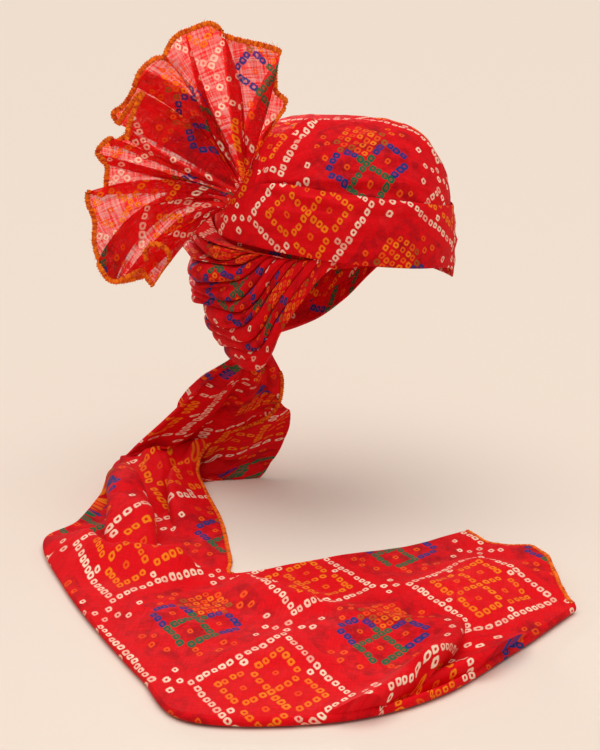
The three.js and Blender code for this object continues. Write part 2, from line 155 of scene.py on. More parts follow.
def window(x, rise, fall):
    """Eased up from 0 to 1 over the span `rise`, and down to 0 again over the span `fall`."""
    return smooth(x, *rise) * (1 - smooth(x, *fall))


def signed_power(x, power):
    """Power of the size of x, with the sign of x."""
    return np.sign(x) * np.abs(x) ** power


def unit(v):
    """Vectors drawn out to a length of 1."""
    return v / np.maximum(np.linalg.norm(v, axis=-1, keepdims=True), 1e-9)


def curve(x, y, at, level_turns=False):
    """Cubic curve through the points (x, y), read at the places `at`; level_turns makes every
    high and low point of y a level one."""
    slope = np.empty_like(y)
    slope[1:-1] = (y[2:] - y[:-2]) / (x[2:] - x[:-2])
    slope[0] = (y[1] - y[0]) / (x[1] - x[0])
    slope[-1] = (y[-1] - y[-2]) / (x[-1] - x[-2])
    if level_turns:
        slope[1:-1][(y[1:-1] - y[:-2]) * (y[2:] - y[1:-1]) <= 0] = 0
    at = np.clip(at, x[0], x[-1])
    i = np.clip(np.searchsorted(x, at, side="left") - 1, 0, len(x) - 2)
    span = x[i + 1] - x[i]
    t = (at - x[i]) / span
    return (y[i] + (y[i + 1] - y[i]) * t * t * (3 - 2 * t)
            + span * (slope[i] * t * (1 - t) ** 2 - slope[i + 1] * t * t * (1 - t)))


def column(rows, key, value, at):
    """One column of a table as a curve over another, read at the places `at`."""
    return curve(rows[key], rows[value], at)


def wander(x, y, size, seed, waves=14):
    """Soft random height between about -1 and 1: a sum of sine waves of many directions, each about
    `size` long."""
    rng = np.random.default_rng(seed)
    turn = rng.uniform(0, 2 * np.pi, waves)
    pitch = 2 * np.pi / (size * rng.uniform(*WAVE_LENGTHS, waves))
    start = rng.uniform(0, 2 * np.pi, waves)
    phase = (x[..., None] * np.cos(turn) + y[..., None] * np.sin(turn)) * pitch + start
    return np.sin(phase).sum(-1) / math.sqrt(waves)


def beside_line(x, y, x0, y0, x1, y1, bow):
    """Places on a flat cloth beside a line bowed to its left: the line's length, the share of the way
    along it, that share held between its ends, and the distance to its left."""
    long = math.hypot(x1 - x0, y1 - y0)
    ax, ay = (x1 - x0) / long, (y1 - y0) / long
    share = ((x - x0) * ax + (y - y0) * ay) / long
    on = np.clip(share, 0, 1)
    left = (y - y0) * ax - (x - x0) * ay - bow * 4 * on * (1 - on)
    return long, share, on, left


def creases(x, y, rows):
    """Height of soft ridges drawn on a flat cloth. Across each line the height falls off like a bell,
    narrower on the side of its lean, and it fades out at both ends."""
    height = np.zeros(np.broadcast(x, y).shape)
    for x0, y0, x1, y1, bow, high, wide, lean in zip(*rows.values()):
        long, share, on, left = beside_line(x, y, x0, y0, x1, y1, bow)
        past = (share - on) * long
        left = left * (1 + lean * np.sign(left))
        ends = np.sin(np.pi * (CREASE_END + (1 - 2 * CREASE_END) * on))
        height += high * ends * np.exp(-(left / wide) ** 2 - (past / (CREASE_FADE * wide)) ** 2)
    return height


def pleats(x, y, rows):
    """Height of layered pleats drawn on a flat cloth. Along each line the layer on the right swells up
    to its edge, and drops to the layer on the left, which rises again slowly."""
    height = np.zeros(np.broadcast(x, y).shape)
    for x0, y0, x1, y1, bow, high, drop, ridge, reach in zip(*rows.values()):
        _, share, _, left = beside_line(x, y, x0, y0, x1, y1, bow)
        upper = high * np.exp(-(left / ridge) ** 2)
        lower = (high - (high + drop) * smooth(left, 0, PLEAT_STEP)
                 + drop * smooth(left, PLEAT_STEP, reach))
        height += window(share, PLEAT_START, PLEAT_STOP) * np.where(left < 0, upper, lower)
    return height


# The form that the cloth is wound to, and the axes of the table

ALONG = np.array([math.cos(TABLE_TURN), math.sin(TABLE_TURN), 0])
AWAY = np.array([-math.sin(TABLE_TURN), math.cos(TABLE_TURN), 0])
UP = np.array([0.0, 0.0, 1.0])
# The drape's middle, as a direction from the crown's centre, and the ball it is laid out over
DRAPE_MIDDLE = (0.32, -0.56, 0.77)
DRAPE_RADIUS = 104


def on_form(bearing, height, lift):
    """Point on the wound form at a bearing and height, lifted out from the crown's centre. In plan the
    form is a superellipse, narrowing to the crown and the nape by another."""
    a = np.radians(bearing)
    plan = ((2 * np.abs(np.cos(a)) / OPENING_LENGTH) ** PLAN_POWER
            + (2 * np.abs(np.sin(a)) / OPENING_BREADTH) ** PLAN_POWER)
    above = height - CROWN_CENTRE[2]
    rise = np.where(above > 0, CROWN_RISE, NAPE_DROP)
    power = np.where(above > 0, CROWN_POWER, NAPE_POWER)
    narrowing = np.maximum(0, 1 - (np.abs(above) / rise) ** power) ** (1 / power)
    radius = narrowing * plan ** (-1 / PLAN_POWER)
    base = np.stack([radius * np.cos(a), radius * np.sin(a), height + 0 * radius], -1)
    return base + np.asarray(lift)[..., None] * unit(base - CROWN_CENTRE)


def crown_height(edge, share):
    """Height part of the way from an edge (0) to the top of the crown (1), in even steps of angle."""
    low = np.arcsin(np.clip((edge - CROWN_CENTRE[2]) / CROWN_RISE, 0, 1) ** (CROWN_POWER / 2))
    angle = low + (np.pi / 2 - low) * share
    top = CROWN_CENTRE[2] + CROWN_RISE
    return np.minimum(CROWN_CENTRE[2] + CROWN_RISE * np.sin(angle) ** (2 / CROWN_POWER), top - 1e-6)


def lip_rise(bearing, height):
    """How far the cloth is lifted near the lip over the fan's gather: a bell round its place."""
    turn = np.abs((bearing - WRAP_LIP["bearing"] + 540) % 360 - 180)
    climb = height - WRAP_LIP["height"]
    spread = WRAP_LIP["spread"]
    return WRAP_LIP["rise"] * np.exp(-(turn / spread) ** 2 - (climb / (2 * spread)) ** 2)


def on_table(along, away, up):
    """Point from its way along the table, away across it and up."""
    return along[..., None] * ALONG + away[..., None] * AWAY + up[..., None] * UP


def flat_on_crown(points):
    """Flat cloth places for a drape over the crown: distance and direction, measured over a ball,
    from a place on the near upper side."""
    middle = unit(np.array(DRAPE_MIDDLE))
    right = unit(ALONG - middle * (ALONG @ middle))
    upper = np.cross(middle, right)
    way = unit(points - CROWN_CENTRE)
    turn = np.arccos(np.clip(way @ middle, -1, 1))
    x, y = way @ right, way @ upper
    far = DRAPE_RADIUS * turn / np.maximum(np.hypot(x, y), 1e-6)
    return np.stack([far * x, far * y], -1)


CELL_STEP = CELL * DOT_PITCH / MM / math.sqrt(2)
CELL_PLACES = dict(flower=(0.0, 0.0), medallion=(CELL_STEP, CELL_STEP))


def placed(flat, at, cell, turn=0, scale=1):
    """Flat places turned by some degrees and scaled, so that one of the dyed pattern's cells has its
    middle at the place `at`."""
    a = math.radians(turn)
    x, y = scale * (flat[..., 0] - at[0]), scale * (flat[..., 1] - at[1])
    middle = CELL_PLACES[cell]
    return np.stack([x * math.cos(a) - y * math.sin(a) + middle[0],
                     x * math.sin(a) + y * math.cos(a) + middle[1]], -1)


# Meshes

WELD_GAP = 1e-5
HEM_SIDES = 10


def cloth_piece(name, points, flat, material, flip=False, weld=False):
    """Mesh over a grid of points in millimetres, with each point's place on the flat cloth in the UV
    map "cloth" in metres. Where flat has one row more, the last row of points joins the first. A flat
    of four axes holds the places at the first and at the last row of every strip between two rows."""
    rows, columns = points.shape[:2]
    strips = np.stack([flat[:-1], flat[1:]]) if flat.ndim == 3 else flat
    i, j = (index.ravel() for index in np.indices((strips.shape[1], columns - 1)))
    corners = [(0, 0), (1, 0), (1, 1), (0, 1)]
    corners = corners[::-1] if flip else corners
    faces = np.stack([((i + a) % rows) * columns + j + b for a, b in corners], -1)
    places = np.stack([strips[a, i, j + b] for a, b in corners], 1) * MM
    return mesh_object(name, points.reshape(-1, 3) * MM, faces, places, material, weld)


def mesh_object(name, vertices, faces, places, material, weld=False):
    """Object of smooth four-sided faces, with a flat cloth place for every corner of a face."""
    mesh = bpy.data.meshes.new(name)
    mesh.vertices.add(len(vertices))
    mesh.vertices.foreach_set("co", np.ascontiguousarray(vertices, np.float32).ravel())
    mesh.loops.add(faces.size)
    mesh.loops.foreach_set("vertex_index", np.ascontiguousarray(faces, np.int32).ravel())
    mesh.polygons.add(len(faces))
    mesh.polygons.foreach_set("loop_start", np.arange(0, faces.size, faces.shape[1], dtype=np.int32))
    mesh.update(calc_edges=True)
    layer = mesh.uv_layers.new(name="cloth")
    layer.data.foreach_set("uv", np.ascontiguousarray(places, np.float32).ravel())
    mesh.validate()
    mesh.shade_smooth()
    piece = bpy.data.objects.new(name, mesh)
    bpy.context.scene.collection.objects.link(piece)
    if weld:
        near = piece.modifiers.new("weld", "WELD")
        near.merge_threshold = WELD_GAP
    piece.data.materials.append(material)
    return piece


def tube_grid(path, side, out, wide, thick):
    """Rings of points round a path: at each place an ellipse `wide` across the side direction and
    `thick` across the out direction."""
    angle = np.linspace(0, 2 * np.pi, HEM_SIDES, endpoint=False)
    return (path[None] + np.cos(angle)[:, None, None] * (wide[:, None] * side)[None]
            + np.sin(angle)[:, None, None] * (thick[:, None] * out)[None])


def arc_length(path):
    """Way along a path at each of its points."""
    return np.concatenate([[0], np.cumsum(np.linalg.norm(np.diff(path, axis=0), axis=-1))])


def read_along(run, values, at):
    """Three columns of values known at the ways `run`, read at the ways `at`."""
    return np.stack([np.interp(at, run, values[:, k]) for k in range(3)], -1)


# Dyed cloth and thread

# Charts of the tied dots, one letter a dot: white, yellow, orange, green, blue, violet,
# khaki. The flower shows a quarter, from its middle outwards; the medallion is whole.
FLOWER_CHART = ("yyyy.ww.",
                "y...y.w.",
                "y.o.y.w.",
                "y...y.w.",
                ".yyyy.w.",
                "w.....w.",
                "wwwwwww.",
                ".......w")
MEDALLION_CHART = ("w.....o.o..w..w",
                   ".......o.....w.",
                   "...oyok..o.....",
                   "..oyoyokbbb....",
                   "..yoyokv...b...",
                   "..oyoyob.o.b...",
                   "o.koyoyg...b..o",
                   ".o.kvbgggggg.o.",
                   "o..b...g...g..o",
                   "...b.o.g.o.g...",
                   "...b...g...g.o.",
                   "w...bbbgggg....",
                   "..........o....",
                   ".w.....o..o....",
                   "w..w..o.o.....w")
CHART_STEPS = 32
MEDALLION_DRAWN_IN = 1.08
# Sizes of one dot, in steps of the grid
DOT_DRIFT, DOT_OFF_PLACE, DOT_WOBBLE = 0.9, 0.2, 0.16
RING_REACH, RING_UNEVEN, RING_COOL, RING_EDGE = 0.34, 0.08, 0.07, 0.045
HOLE_SHARE, HOLE_EDGE = 0.4, 0.05
CORNER_POWER = 3.0
# Dye of the cool dots that has bled into the ground, fading over a span of steps from the dot
BLED, BLED_FROM, BLED_TO = 0.55, 0.3, 0.6
# Darker ground round the medallions, within these steps of their middle
SHADE_FROM, SHADE_TO, SHADE, SHADE_ELSEWHERE = 6.0, 10.5, 0.62, 0.1
# Threads to a metre across the cloth and slubs to a metre along them
THREADS, SLUBS = 800.0, 45.0
SHEER_THREADS = 0.6


def srgb(red, green, blue):
    """Linear colour from the usual 0 to 255 values."""
    c = np.array([red, green, blue]) / 255
    lin = np.where(c <= 0.04045, c / 12.92, ((c + 0.055) / 1.055) ** 2.4)
    return (*(float(v) for v in lin), 1.0)


DOT_COLOURS = {"w": srgb(252, 222, 192), "y": srgb(248, 134, 14), "o": srgb(244, 92, 12),
               "g": srgb(0, 102, 66), "b": srgb(0, 52, 124), "v": srgb(60, 46, 124),
               "k": srgb(150, 96, 28), ".": (0.0, 0.0, 0.0, 0.0)}
# The lightest ground red colours patches that are partly uneven dye and partly painted sheen.
GROUND_RED, GROUND_DEEP, GROUND_PALE_SHEEN = srgb(236, 3, 16), srgb(128, 4, 20), srgb(244, 34, 38)
THIN_RED, LIT_RED = srgb(120, 6, 16), srgb(255, 70, 58)
# The darkest loop colour is painted shade for the gaps between the thread loops.
LOOP_GAP_SHADE, LOOP_LIGHT, LOOP_STRAY = srgb(188, 48, 4), srgb(255, 126, 10), srgb(70, 70, 30)
FLOOR_PALE = srgb(232, 216, 201)


def put(tree, socket, value):
    """A socket fed by another socket, or set to a plain value."""
    if isinstance(value, bpy.types.NodeSocket):
        tree.links.new(value, socket)
    else:
        socket.default_value = value


def node(tree, kind, inputs=None, **settings):
    """New node with its settings and its inputs."""
    made = tree.nodes.new(kind)
    for key, value in settings.items():
        setattr(made, key, value)
    for key, value in (inputs or {}).items():
        put(tree, made.inputs[key], value)
    return made


def maths(tree, operation, *values):
    """One step of arithmetic."""
    return node(tree, "ShaderNodeMath", dict(enumerate(values)), operation=operation).outputs[0]


def vector_maths(tree, operation, *values):
    """One step of arithmetic on a place."""
    made = node(tree, "ShaderNodeVectorMath", dict(enumerate(values)), operation=operation)
    return made.outputs[0]


def centred(tree, value, width):
    """A value from 0 to 1 spread over `width`, evenly to both sides of 0."""
    return maths(tree, "MULTIPLY_ADD", value, width, -width / 2)


def mixed(tree, share, a, b):
    """Colour a turned into colour b by a share."""
    return node(tree, "ShaderNodeMix", {0: share, 6: a, 7: b}, data_type="RGBA").outputs[2]


def between(tree, value, low, high, bottom=0.0, top=1.0):
    """Value eased from bottom at low to top at high."""
    made = node(tree, "ShaderNodeMapRange", {"Value": value, "From Min": low, "From Max": high,
                                             "To Min": bottom, "To Max": top},
                interpolation_type="SMOOTHSTEP")
    return made.outputs[0]


def noise(tree, vector, scale, detail=2.0, rough=0.5):
    """Cloudy value about 0.5."""
    made = node(tree, "ShaderNodeTexNoise", {"Vector": vector, "Scale": scale, "Detail": detail,
                                             "Roughness": rough})
    return made.outputs["Fac"]


def stretched(tree, vector, x, y):
    """Flat cloth places drawn out by x and y."""
    return vector_maths(tree, "MULTIPLY", vector, (x, y, 1.0))


def parts(tree, colour):
    """Red, green and blue of a colour."""
    return node(tree, "ShaderNodeSeparateColor", {0: colour}).outputs


def new_group(name, outputs):
    """Node group that takes a place on the flat cloth."""
    tree = bpy.data.node_groups.new(name, "ShaderNodeTree")
    tree.interface.new_socket("Cloth", in_out="INPUT", socket_type="NodeSocketVector")
    for label, kind in outputs:
        tree.interface.new_socket(label, in_out="OUTPUT", socket_type=kind)
    return tree, tree.nodes.new("NodeGroupInput").outputs["Cloth"], tree.nodes.new("NodeGroupOutput")


def use_group(tree, group, cloth):
    """Outputs of a node group at a place on the flat cloth."""
    return node(tree, "ShaderNodeGroup", {"Cloth": cloth}, node_tree=group).outputs


def chart_row(tree, row, place):
    """One row of both charts as a ramp of flat steps: the medallion's letters, then the flower's."""
    flower = FLOWER_CHART[row] if row < len(FLOWER_CHART) else "." * len(FLOWER_CHART)
    letters = MEDALLION_CHART[row] + flower
    ramp = node(tree, "ShaderNodeValToRGB", {"Fac": place})
    ramp.color_ramp.interpolation = "CONSTANT"
    marks = ramp.color_ramp.elements
    marks.remove(marks[-1])
    for k, letter in enumerate(letters):
        if k and letters[k - 1] == letter:
            continue
        mark = marks.new(k / CHART_STEPS) if k else marks[0]
        mark.position = k / CHART_STEPS
        mark.color = DOT_COLOURS[letter]
    return ramp.outputs


def pattern_cells(tree, cloth):
    """Cells of the pattern at a place that has drifted a little, as hand-tied dots do. The two axes
    are turned by 45 degrees; for each there is the cell's number and the way from its middle in
    steps. Also gives the kind of cell: 0 is a flower and 1 a medallion."""
    drift = node(tree, "ShaderNodeTexNoise", {"Vector": cloth, "Scale": 24.0, "Detail": 1.0})
    drift = vector_maths(tree, "SUBTRACT", drift.outputs["Color"], (0.5, 0.5, 0.5))
    drift = vector_maths(tree, "MULTIPLY", drift, (DOT_DRIFT * DOT_PITCH,) * 3)
    split = node(tree, "ShaderNodeSeparateXYZ", {0: vector_maths(tree, "ADD", cloth, drift)})
    x, y = split.outputs[0], split.outputs[1]
    grid = 1 / (math.sqrt(2) * DOT_PITCH)
    cells, insides = [], []
    for value in (maths(tree, "MULTIPLY", maths(tree, "ADD", x, y), -grid),
                  maths(tree, "MULTIPLY", maths(tree, "SUBTRACT", x, y), grid)):
        cell = maths(tree, "FLOOR", maths(tree, "DIVIDE", maths(tree, "ADD", value, CELL / 2), CELL))
        cells.append(cell)
        insides.append(maths(tree, "SUBTRACT", value, maths(tree, "MULTIPLY", cell, CELL)))
    return cells, insides, maths(tree, "FLOORED_MODULO", maths(tree, "ADD", *cells), 2.0)


def chart_dot(tree, steps, kind):
    """Colour of the dot at whole steps from a cell's middle, and 1 where its chart has a dot."""
    def pick(flower, medallion):
        made = node(tree, "ShaderNodeMix", {0: kind, 2: flower, 3: medallion}, data_type="FLOAT")
        return made.outputs[0]

    mirrored = [maths(tree, "ABSOLUTE", step) for step in steps]
    shifted = [maths(tree, "ADD", step, float(CELL // 2)) for step in steps]
    letter = pick(maths(tree, "ADD", mirrored[0], float(CELL)), shifted[0])
    place = maths(tree, "MULTIPLY_ADD", letter, 1 / CHART_STEPS, 0.5 / CHART_STEPS)
    row = pick(mirrored[1], shifted[1])
    colour, there = DOT_COLOURS["w"], 0.0
    for k in range(CELL):
        here = maths(tree, "COMPARE", row, float(k), 0.5)
        read = chart_row(tree, k, place)
        colour = mixed(tree, here, colour, read[0])
        there = maths(tree, "MULTIPLY_ADD", here, read[1], there)
    inside = maths(tree, "LESS_THAN", maths(tree, "MAXIMUM", *mirrored), CELL / 2)
    return colour, maths(tree, "MULTIPLY", there, inside)


def dot_ring(tree, cloth, offs, luck, cool):
    """Way from the middle of the nearest dot, and its ring: a rounded square with a hole, a little off
    its place and uneven at its edge."""
    sides = []
    for off, chance_way in zip(offs, luck):
        moved = maths(tree, "ADD", off, centred(tree, chance_way, DOT_OFF_PLACE))
        sides.append(maths(tree, "POWER", maths(tree, "ABSOLUTE", moved), CORNER_POWER))
    far = maths(tree, "POWER", maths(tree, "ADD", *sides), 1 / CORNER_POWER)
    far = maths(tree, "ADD", far, centred(tree, noise(tree, cloth, 420.0, 1.0), DOT_WOBBLE))
    reach = maths(tree, "MULTIPLY_ADD", luck[2], RING_UNEVEN, RING_REACH)
    reach = maths(tree, "MULTIPLY_ADD", cool, RING_COOL, reach)
    hole = maths(tree, "MULTIPLY", reach, HOLE_SHARE)
    ring = between(tree, maths(tree, "SUBTRACT", far, reach), -RING_EDGE, RING_EDGE, 1.0, 0.0)
    clear = between(tree, maths(tree, "SUBTRACT", far, hole), -HOLE_EDGE, HOLE_EDGE)
    return far, maths(tree, "MULTIPLY", ring, clear)


def dyed_ground(tree, cloth, insides, kind):
    """Cloudy red ground, darker round the medallions, and lighter in patches that are partly uneven dye and
    partly painted sheen.
    """
    squares = [maths(tree, "POWER", inside, 2.0) for inside in insides]
    far_in = maths(tree, "SQRT", maths(tree, "ADD", *squares))
    near_middle = maths(tree, "MULTIPLY", between(tree, far_in, SHADE_FROM, SHADE_TO, 1.0, 0.0), kind)
    cloudy = between(tree, noise(tree, cloth, 60.0, 6.0, 0.72), 0.4, 0.68)
    shade = maths(tree, "MULTIPLY_ADD", near_middle, SHADE, SHADE_ELSEWHERE)
    ground = mixed(tree, maths(tree, "MULTIPLY", cloudy, shade), GROUND_RED, GROUND_DEEP)
    # The lighter patches are partly uneven dye and partly painted sheen.
    pale = between(tree, noise(tree, cloth, 40.0, 3.0), 0.54, 0.78, 0.0, 0.6)
    return mixed(tree, pale, ground, GROUND_PALE_SHEEN)


def tied_dots():
    """Node group: the tie-dyed colour at a place on the flat cloth, and how much of a dot shows there.
    The dots stand on a square grid turned by 45 degrees; flower and medallion cells take turns."""
    tree, cloth, out = new_group("tied_dots", [("Colour", "NodeSocketColor"),
                                               ("Dot", "NodeSocketFloat")])
    cells, insides, kind = pattern_cells(tree, cloth)
    drawn_in = maths(tree, "MULTIPLY_ADD", kind, MEDALLION_DRAWN_IN - 1, 1.0)
    steps, offs, whole = [], [], []
    for cell, inside in zip(cells, insides):
        inside = maths(tree, "MULTIPLY", inside, drawn_in)
        step = maths(tree, "FLOOR", maths(tree, "ADD", inside, 0.5))
        steps.append(step)
        offs.append(maths(tree, "SUBTRACT", inside, step))
        whole.append(maths(tree, "MULTIPLY_ADD", cell, float(CELL), step))
    dot = node(tree, "ShaderNodeCombineXYZ", dict(enumerate(whole)))
    chance = node(tree, "ShaderNodeTexWhiteNoise", {"Vector": dot.outputs[0]}, noise_dimensions="2D")
    colour, there = chart_dot(tree, steps, kind)
    cool = between(tree, parts(tree, colour)[0], 0.1, 0.25, 1.0, 0.0)
    far, ring = dot_ring(tree, cloth, offs, parts(tree, chance.outputs["Color"]), cool)
    ground = dyed_ground(tree, cloth, insides, kind)
    bled = maths(tree, "MULTIPLY", maths(tree, "MULTIPLY", there, cool),
                 between(tree, far, BLED_FROM, BLED_TO, BLED, 0.0))
    ground = mixed(tree, bled, ground, colour)
    faded = between(tree, noise(tree, cloth, 34.0, 2.0), 0.34, 0.6, 0.7, 1.0)
    weak = between(tree, chance.outputs["Value"], 0.0, 0.25, 0.68, 1.0)
    strong = maths(tree, "MAXIMUM", maths(tree, "MULTIPLY", faded, weak), cool)
    shown = maths(tree, "MULTIPLY", maths(tree, "MULTIPLY", there, ring), strong)
    put(tree, out.inputs["Colour"], mixed(tree, shown, ground, colour))
    put(tree, out.inputs["Dot"], shown)
    return tree


def cloth_weave():
    """Node group: thin uneven threads both ways across the cloth, as a height and as a 0 to 1 slub."""
    tree, cloth, out = new_group("cloth_weave", [("Height", "NodeSocketFloat"),
                                                 ("Slub", "NodeSocketFloat")])
    warp = noise(tree, stretched(tree, cloth, THREADS, SLUBS), 1.0, 2.0, 0.7)
    weft = noise(tree, stretched(tree, cloth, SLUBS, THREADS), 1.0, 2.0, 0.7)
    crumple = noise(tree, cloth, 150.0, 3.0, 0.6)
    slub = maths(tree, "MULTIPLY", maths(tree, "ADD", warp, weft), 0.5)
    put(tree, out.inputs["Height"], maths(tree, "MULTIPLY_ADD", crumple, 1.4, slub))
    put(tree, out.inputs["Slub"], between(tree, slub, 0.34, 0.66))
    return tree


def new_material(name, rough, shine):
    """Material of a given roughness and shine, with its node tree and its surface."""
    material = bpy.data.materials.new(name)
    material.use_nodes = True
    tree = material.node_tree
    surface = tree.nodes["Principled BSDF"]
    surface.inputs["Roughness"].default_value = rough
    surface.inputs["Specular IOR Level"].default_value = shine
    return material, tree, surface


def flat_place(tree):
    """Place on the flat cloth, from the piece's UV map."""
    return node(tree, "ShaderNodeUVMap", uv_map="cloth").outputs[0]


def raised(tree, surface, height, strength, distance):
    """A height that roughens the surface."""
    relief = node(tree, "ShaderNodeBump", {"Height": height, "Strength": strength, "Distance": distance})
    put(tree, surface.inputs["Normal"], relief.outputs[0])


def sheer_cover(tree, cover, close, dot, slub):
    """How much the sheer cloth hides: more near the gather, on a dot, on a thick thread and edge on."""
    solid = maths(tree, "MULTIPLY_ADD", close, 0.28, cover)
    solid = maths(tree, "MULTIPLY_ADD", dot, 0.5, solid)
    solid = maths(tree, "ADD", solid, centred(tree, slub, 1.0))
    edge_on = node(tree, "ShaderNodeLayerWeight", {"Blend": 0.5}).outputs["Facing"]
    solid = maths(tree, "MULTIPLY_ADD", maths(tree, "POWER", edge_on, 2.0), 0.4, solid)
    return node(tree, "ShaderNodeClamp", {0: solid}).outputs[0]


def cloth_material(name, dots, weave, cover, glow, bump):
    """Dyed cloth: cover is how much of what is behind it one layer hides, glow how much light comes
    through from behind."""
    material, tree, surface = new_material(name, rough=0.74, shine=0.12)
    cloth = flat_place(tree)
    sheer = cover < 1
    dyed = use_group(tree, dots, cloth)
    woven = use_group(tree, weave, stretched(tree, cloth, SHEER_THREADS, SHEER_THREADS) if sheer else cloth)
    slub = woven["Slub"]
    plain = maths(tree, "MULTIPLY_ADD", dyed["Dot"], -0.8, 1.0)
    thin = maths(tree, "MULTIPLY", maths(tree, "MULTIPLY_ADD", slub, -0.24, 0.24), plain)
    colour = mixed(tree, thin, dyed["Colour"], THIN_RED)
    put(tree, surface.inputs["Base Color"], colour)
    raised(tree, surface, woven["Height"], bump, 0.0012)
    if sheer:
        near = node(tree, "ShaderNodeAttribute", attribute_name="near_gather").outputs["Fac"]
        close = between(tree, near, 0.3, 0.75)
        glow = maths(tree, "MULTIPLY_ADD", close, -0.5 * glow, glow)
        put(tree, surface.inputs["Alpha"], sheer_cover(tree, cover, close, dyed["Dot"], slub))
    lit = mixed(tree, maths(tree, "MULTIPLY", plain, 0.45), colour, LIT_RED)
    through = node(tree, "ShaderNodeBsdfTranslucent", {"Color": lit})
    both = node(tree, "ShaderNodeMixShader", {0: glow, 1: surface.outputs[0], 2: through.outputs[0]})
    put(tree, tree.nodes["Material Output"].inputs["Surface"], both.outputs[0])
    return material


def overlock_material():
    """Overlocked edge: close orange thread loops and a few stray ones, with painted shade in the darker
    gaps between the loops.
    """
    material, tree, surface = new_material("orange_overlock", rough=0.8, shine=0.2)
    cloth = flat_place(tree)
    loops = noise(tree, stretched(tree, cloth, 420.0, 240.0), 1.0, 2.0, 0.6)
    patches = noise(tree, stretched(tree, cloth, 60.0, 60.0), 1.0, 1.0)
    # The darker gaps between the thread loops are painted shade.
    colour = mixed(tree, between(tree, loops, 0.3, 0.7), LOOP_GAP_SHADE, LOOP_LIGHT)
    colour = mixed(tree, between(tree, patches, 0.7, 0.76, 0.0, 0.7), colour, LOOP_STRAY)
    put(tree, surface.inputs["Base Color"], colour)
    raised(tree, surface, loops, 0.8, 0.001)
    return material


def paper_material():
    """Plain pale paper for the studio floor."""
    material, _, surface = new_material("studio_paper", rough=0.9, shine=0.15)
    surface.inputs["Base Color"].default_value = FLOOR_PALE
    return material


# The wound pieces

CAP_LIFT, CAP_WRINKLE = 1.1, 0.5
WRAP_LIFT = 4.4
WRAP_CREASED, WRAP_WRINKLE, WRAP_CRINKLE = 0.8, 0.5, 0.2
# A loose full place near the top of the wrap, by its place on the flat cloth
WRAP_FULL = dict(x=54, y=42, rise=4.5, spread=30)
# How far the brow band presses the wrap in at the front, and the heights where that ends
WRAP_PRESSED, PRESSED_TO = 1.4, (46, 56)
WRAP_CREASES = table(
    "x0 y0 x1 y1 bow high wide lean",
    (-68, 0, 2, 74, 6, 3.4, 3.6, 0.5), (-62, -8, -22, 66, 12, 2, 4, 0.4),
    (-64, -12, 20, 60, 14, 1.8, 4.5, 0.4), (-66, -16, 60, 30, 10, 1.4, 3.6, -0.3),
    (-64, -20, 72, 8, 9, 1.5, 3, 0.3), (-60, -26, 80, -14, 7, 1.3, 2.8, -0.3),
    (-30, -30, 60, -26, 4, 1.5, 2.4, 0.3), (10, -24, 92, -6, 5, 1.2, 3, 0.2),
    (-58, 4, 10, 20, 6, 1.1, 3, 0.2), (20, -34, 96, -26, 3, 1.2, 2.4, 0.2),
    (30, 40, 90, 8, 10, 1.2, 5, 0), (40, 10, 96, -40, 8, 1, 4, 0))
WRAP_PLEATS = table(
    "x0 y0 x1 y1 bow high drop ridge reach",
    (-72, -4, -12, 66, 2, 1.6, 3.8, 9, 60), (-66, -3, -4, 60, 3, 1.7, 1.3, 7, 13),
    (-66, -6, 14, 48, 5, 1.4, 1.0, 7, 13), (-60, 0, 34, 12, 7, 1.2, 0.9, 8, 14),
    (60, -9, -75, 0, 11, 1.5, 1.1, 7, 12), (70, -17, -12, -17, 0, 1.3, 0.9, 5, 8),
    (92, 0, -20, -2, 8, 0.9, 0.6, 8, 12))


def crown_grid(edge_rows, bearings, rows):
    """Grid over the crown from an edge up: the bearing, the share of the way to the top, the height,
    and the flat cloth places of a drape there."""
    bearing, share = np.meshgrid(np.linspace(-180, 180, bearings + 1), np.linspace(0, 1, rows),
                                 indexing="ij")
    height = crown_height(column(edge_rows, "bearing", "height", bearing), share)
    return bearing, share, height, flat_on_crown(on_form(bearing, height, 0))


def crown_cap(material):
    """Inner wraps over the crown: the wound form from the cap's edge to the top, lifted a little, with
    soft wandering wrinkles."""
    bearing, _, height, flat = crown_grid(CAP_EDGE, bearings=240, rows=60)
    wrinkle = CAP_WRINKLE * wander(flat[..., 0], flat[..., 1], 34, seed=3)
    points = on_form(bearing, height, CAP_LIFT + wrinkle)
    return cloth_piece("crown_cap_cloth", points[:-1], placed(flat, **CAP_DYED), material, weld=True)


def crown_wrap(material):
    """Drape over the crown: the wound form from the wrap's edge to the top, lifted over the cap, with
    a lifted lip by the fan, a full place, long creases drawn from the gather, and fine wrinkles."""
    bearing, share, height, flat = crown_grid(WRAP_EDGE, bearings=420, rows=110)
    x, y = flat[..., 0], flat[..., 1]
    folds = (WRAP_CREASED * creases(x, y, WRAP_CREASES) + WRAP_WRINKLE * wander(x, 2.2 * y, 40, seed=5)
             + WRAP_CRINKLE * wander(x, y, 11, seed=6) + pleats(x, y, WRAP_PLEATS))
    from_full = np.hypot(x - WRAP_FULL["x"], y - WRAP_FULL["y"])
    full = WRAP_FULL["rise"] * np.exp(-(from_full / WRAP_FULL["spread"]) ** 2)
    pressed = (WRAP_PRESSED * (1 - smooth(height, *PRESSED_TO))
               * window(bearing, (-60, -20), (60, 110)))
    lift = WRAP_LIFT - pressed + lip_rise(bearing, height) * (1 - share) ** 2 + full
    points = on_form(bearing, height, lift + folds * smooth(1 - share, 0, 0.15))
    return cloth_piece("crown_wrap_cloth", points[:-1], placed(flat, **WRAP_DYED), material, weld=True)


BAND_LIFT, BAND_PLY = 7.5, 1.15
BAND_STEPS, BAND_SIDES = 300, 73
BAND_CREASED, BAND_WRINKLE = 0.9, 0.4
# How much closer the band lies at the front
BAND_CLOSE = 2.2
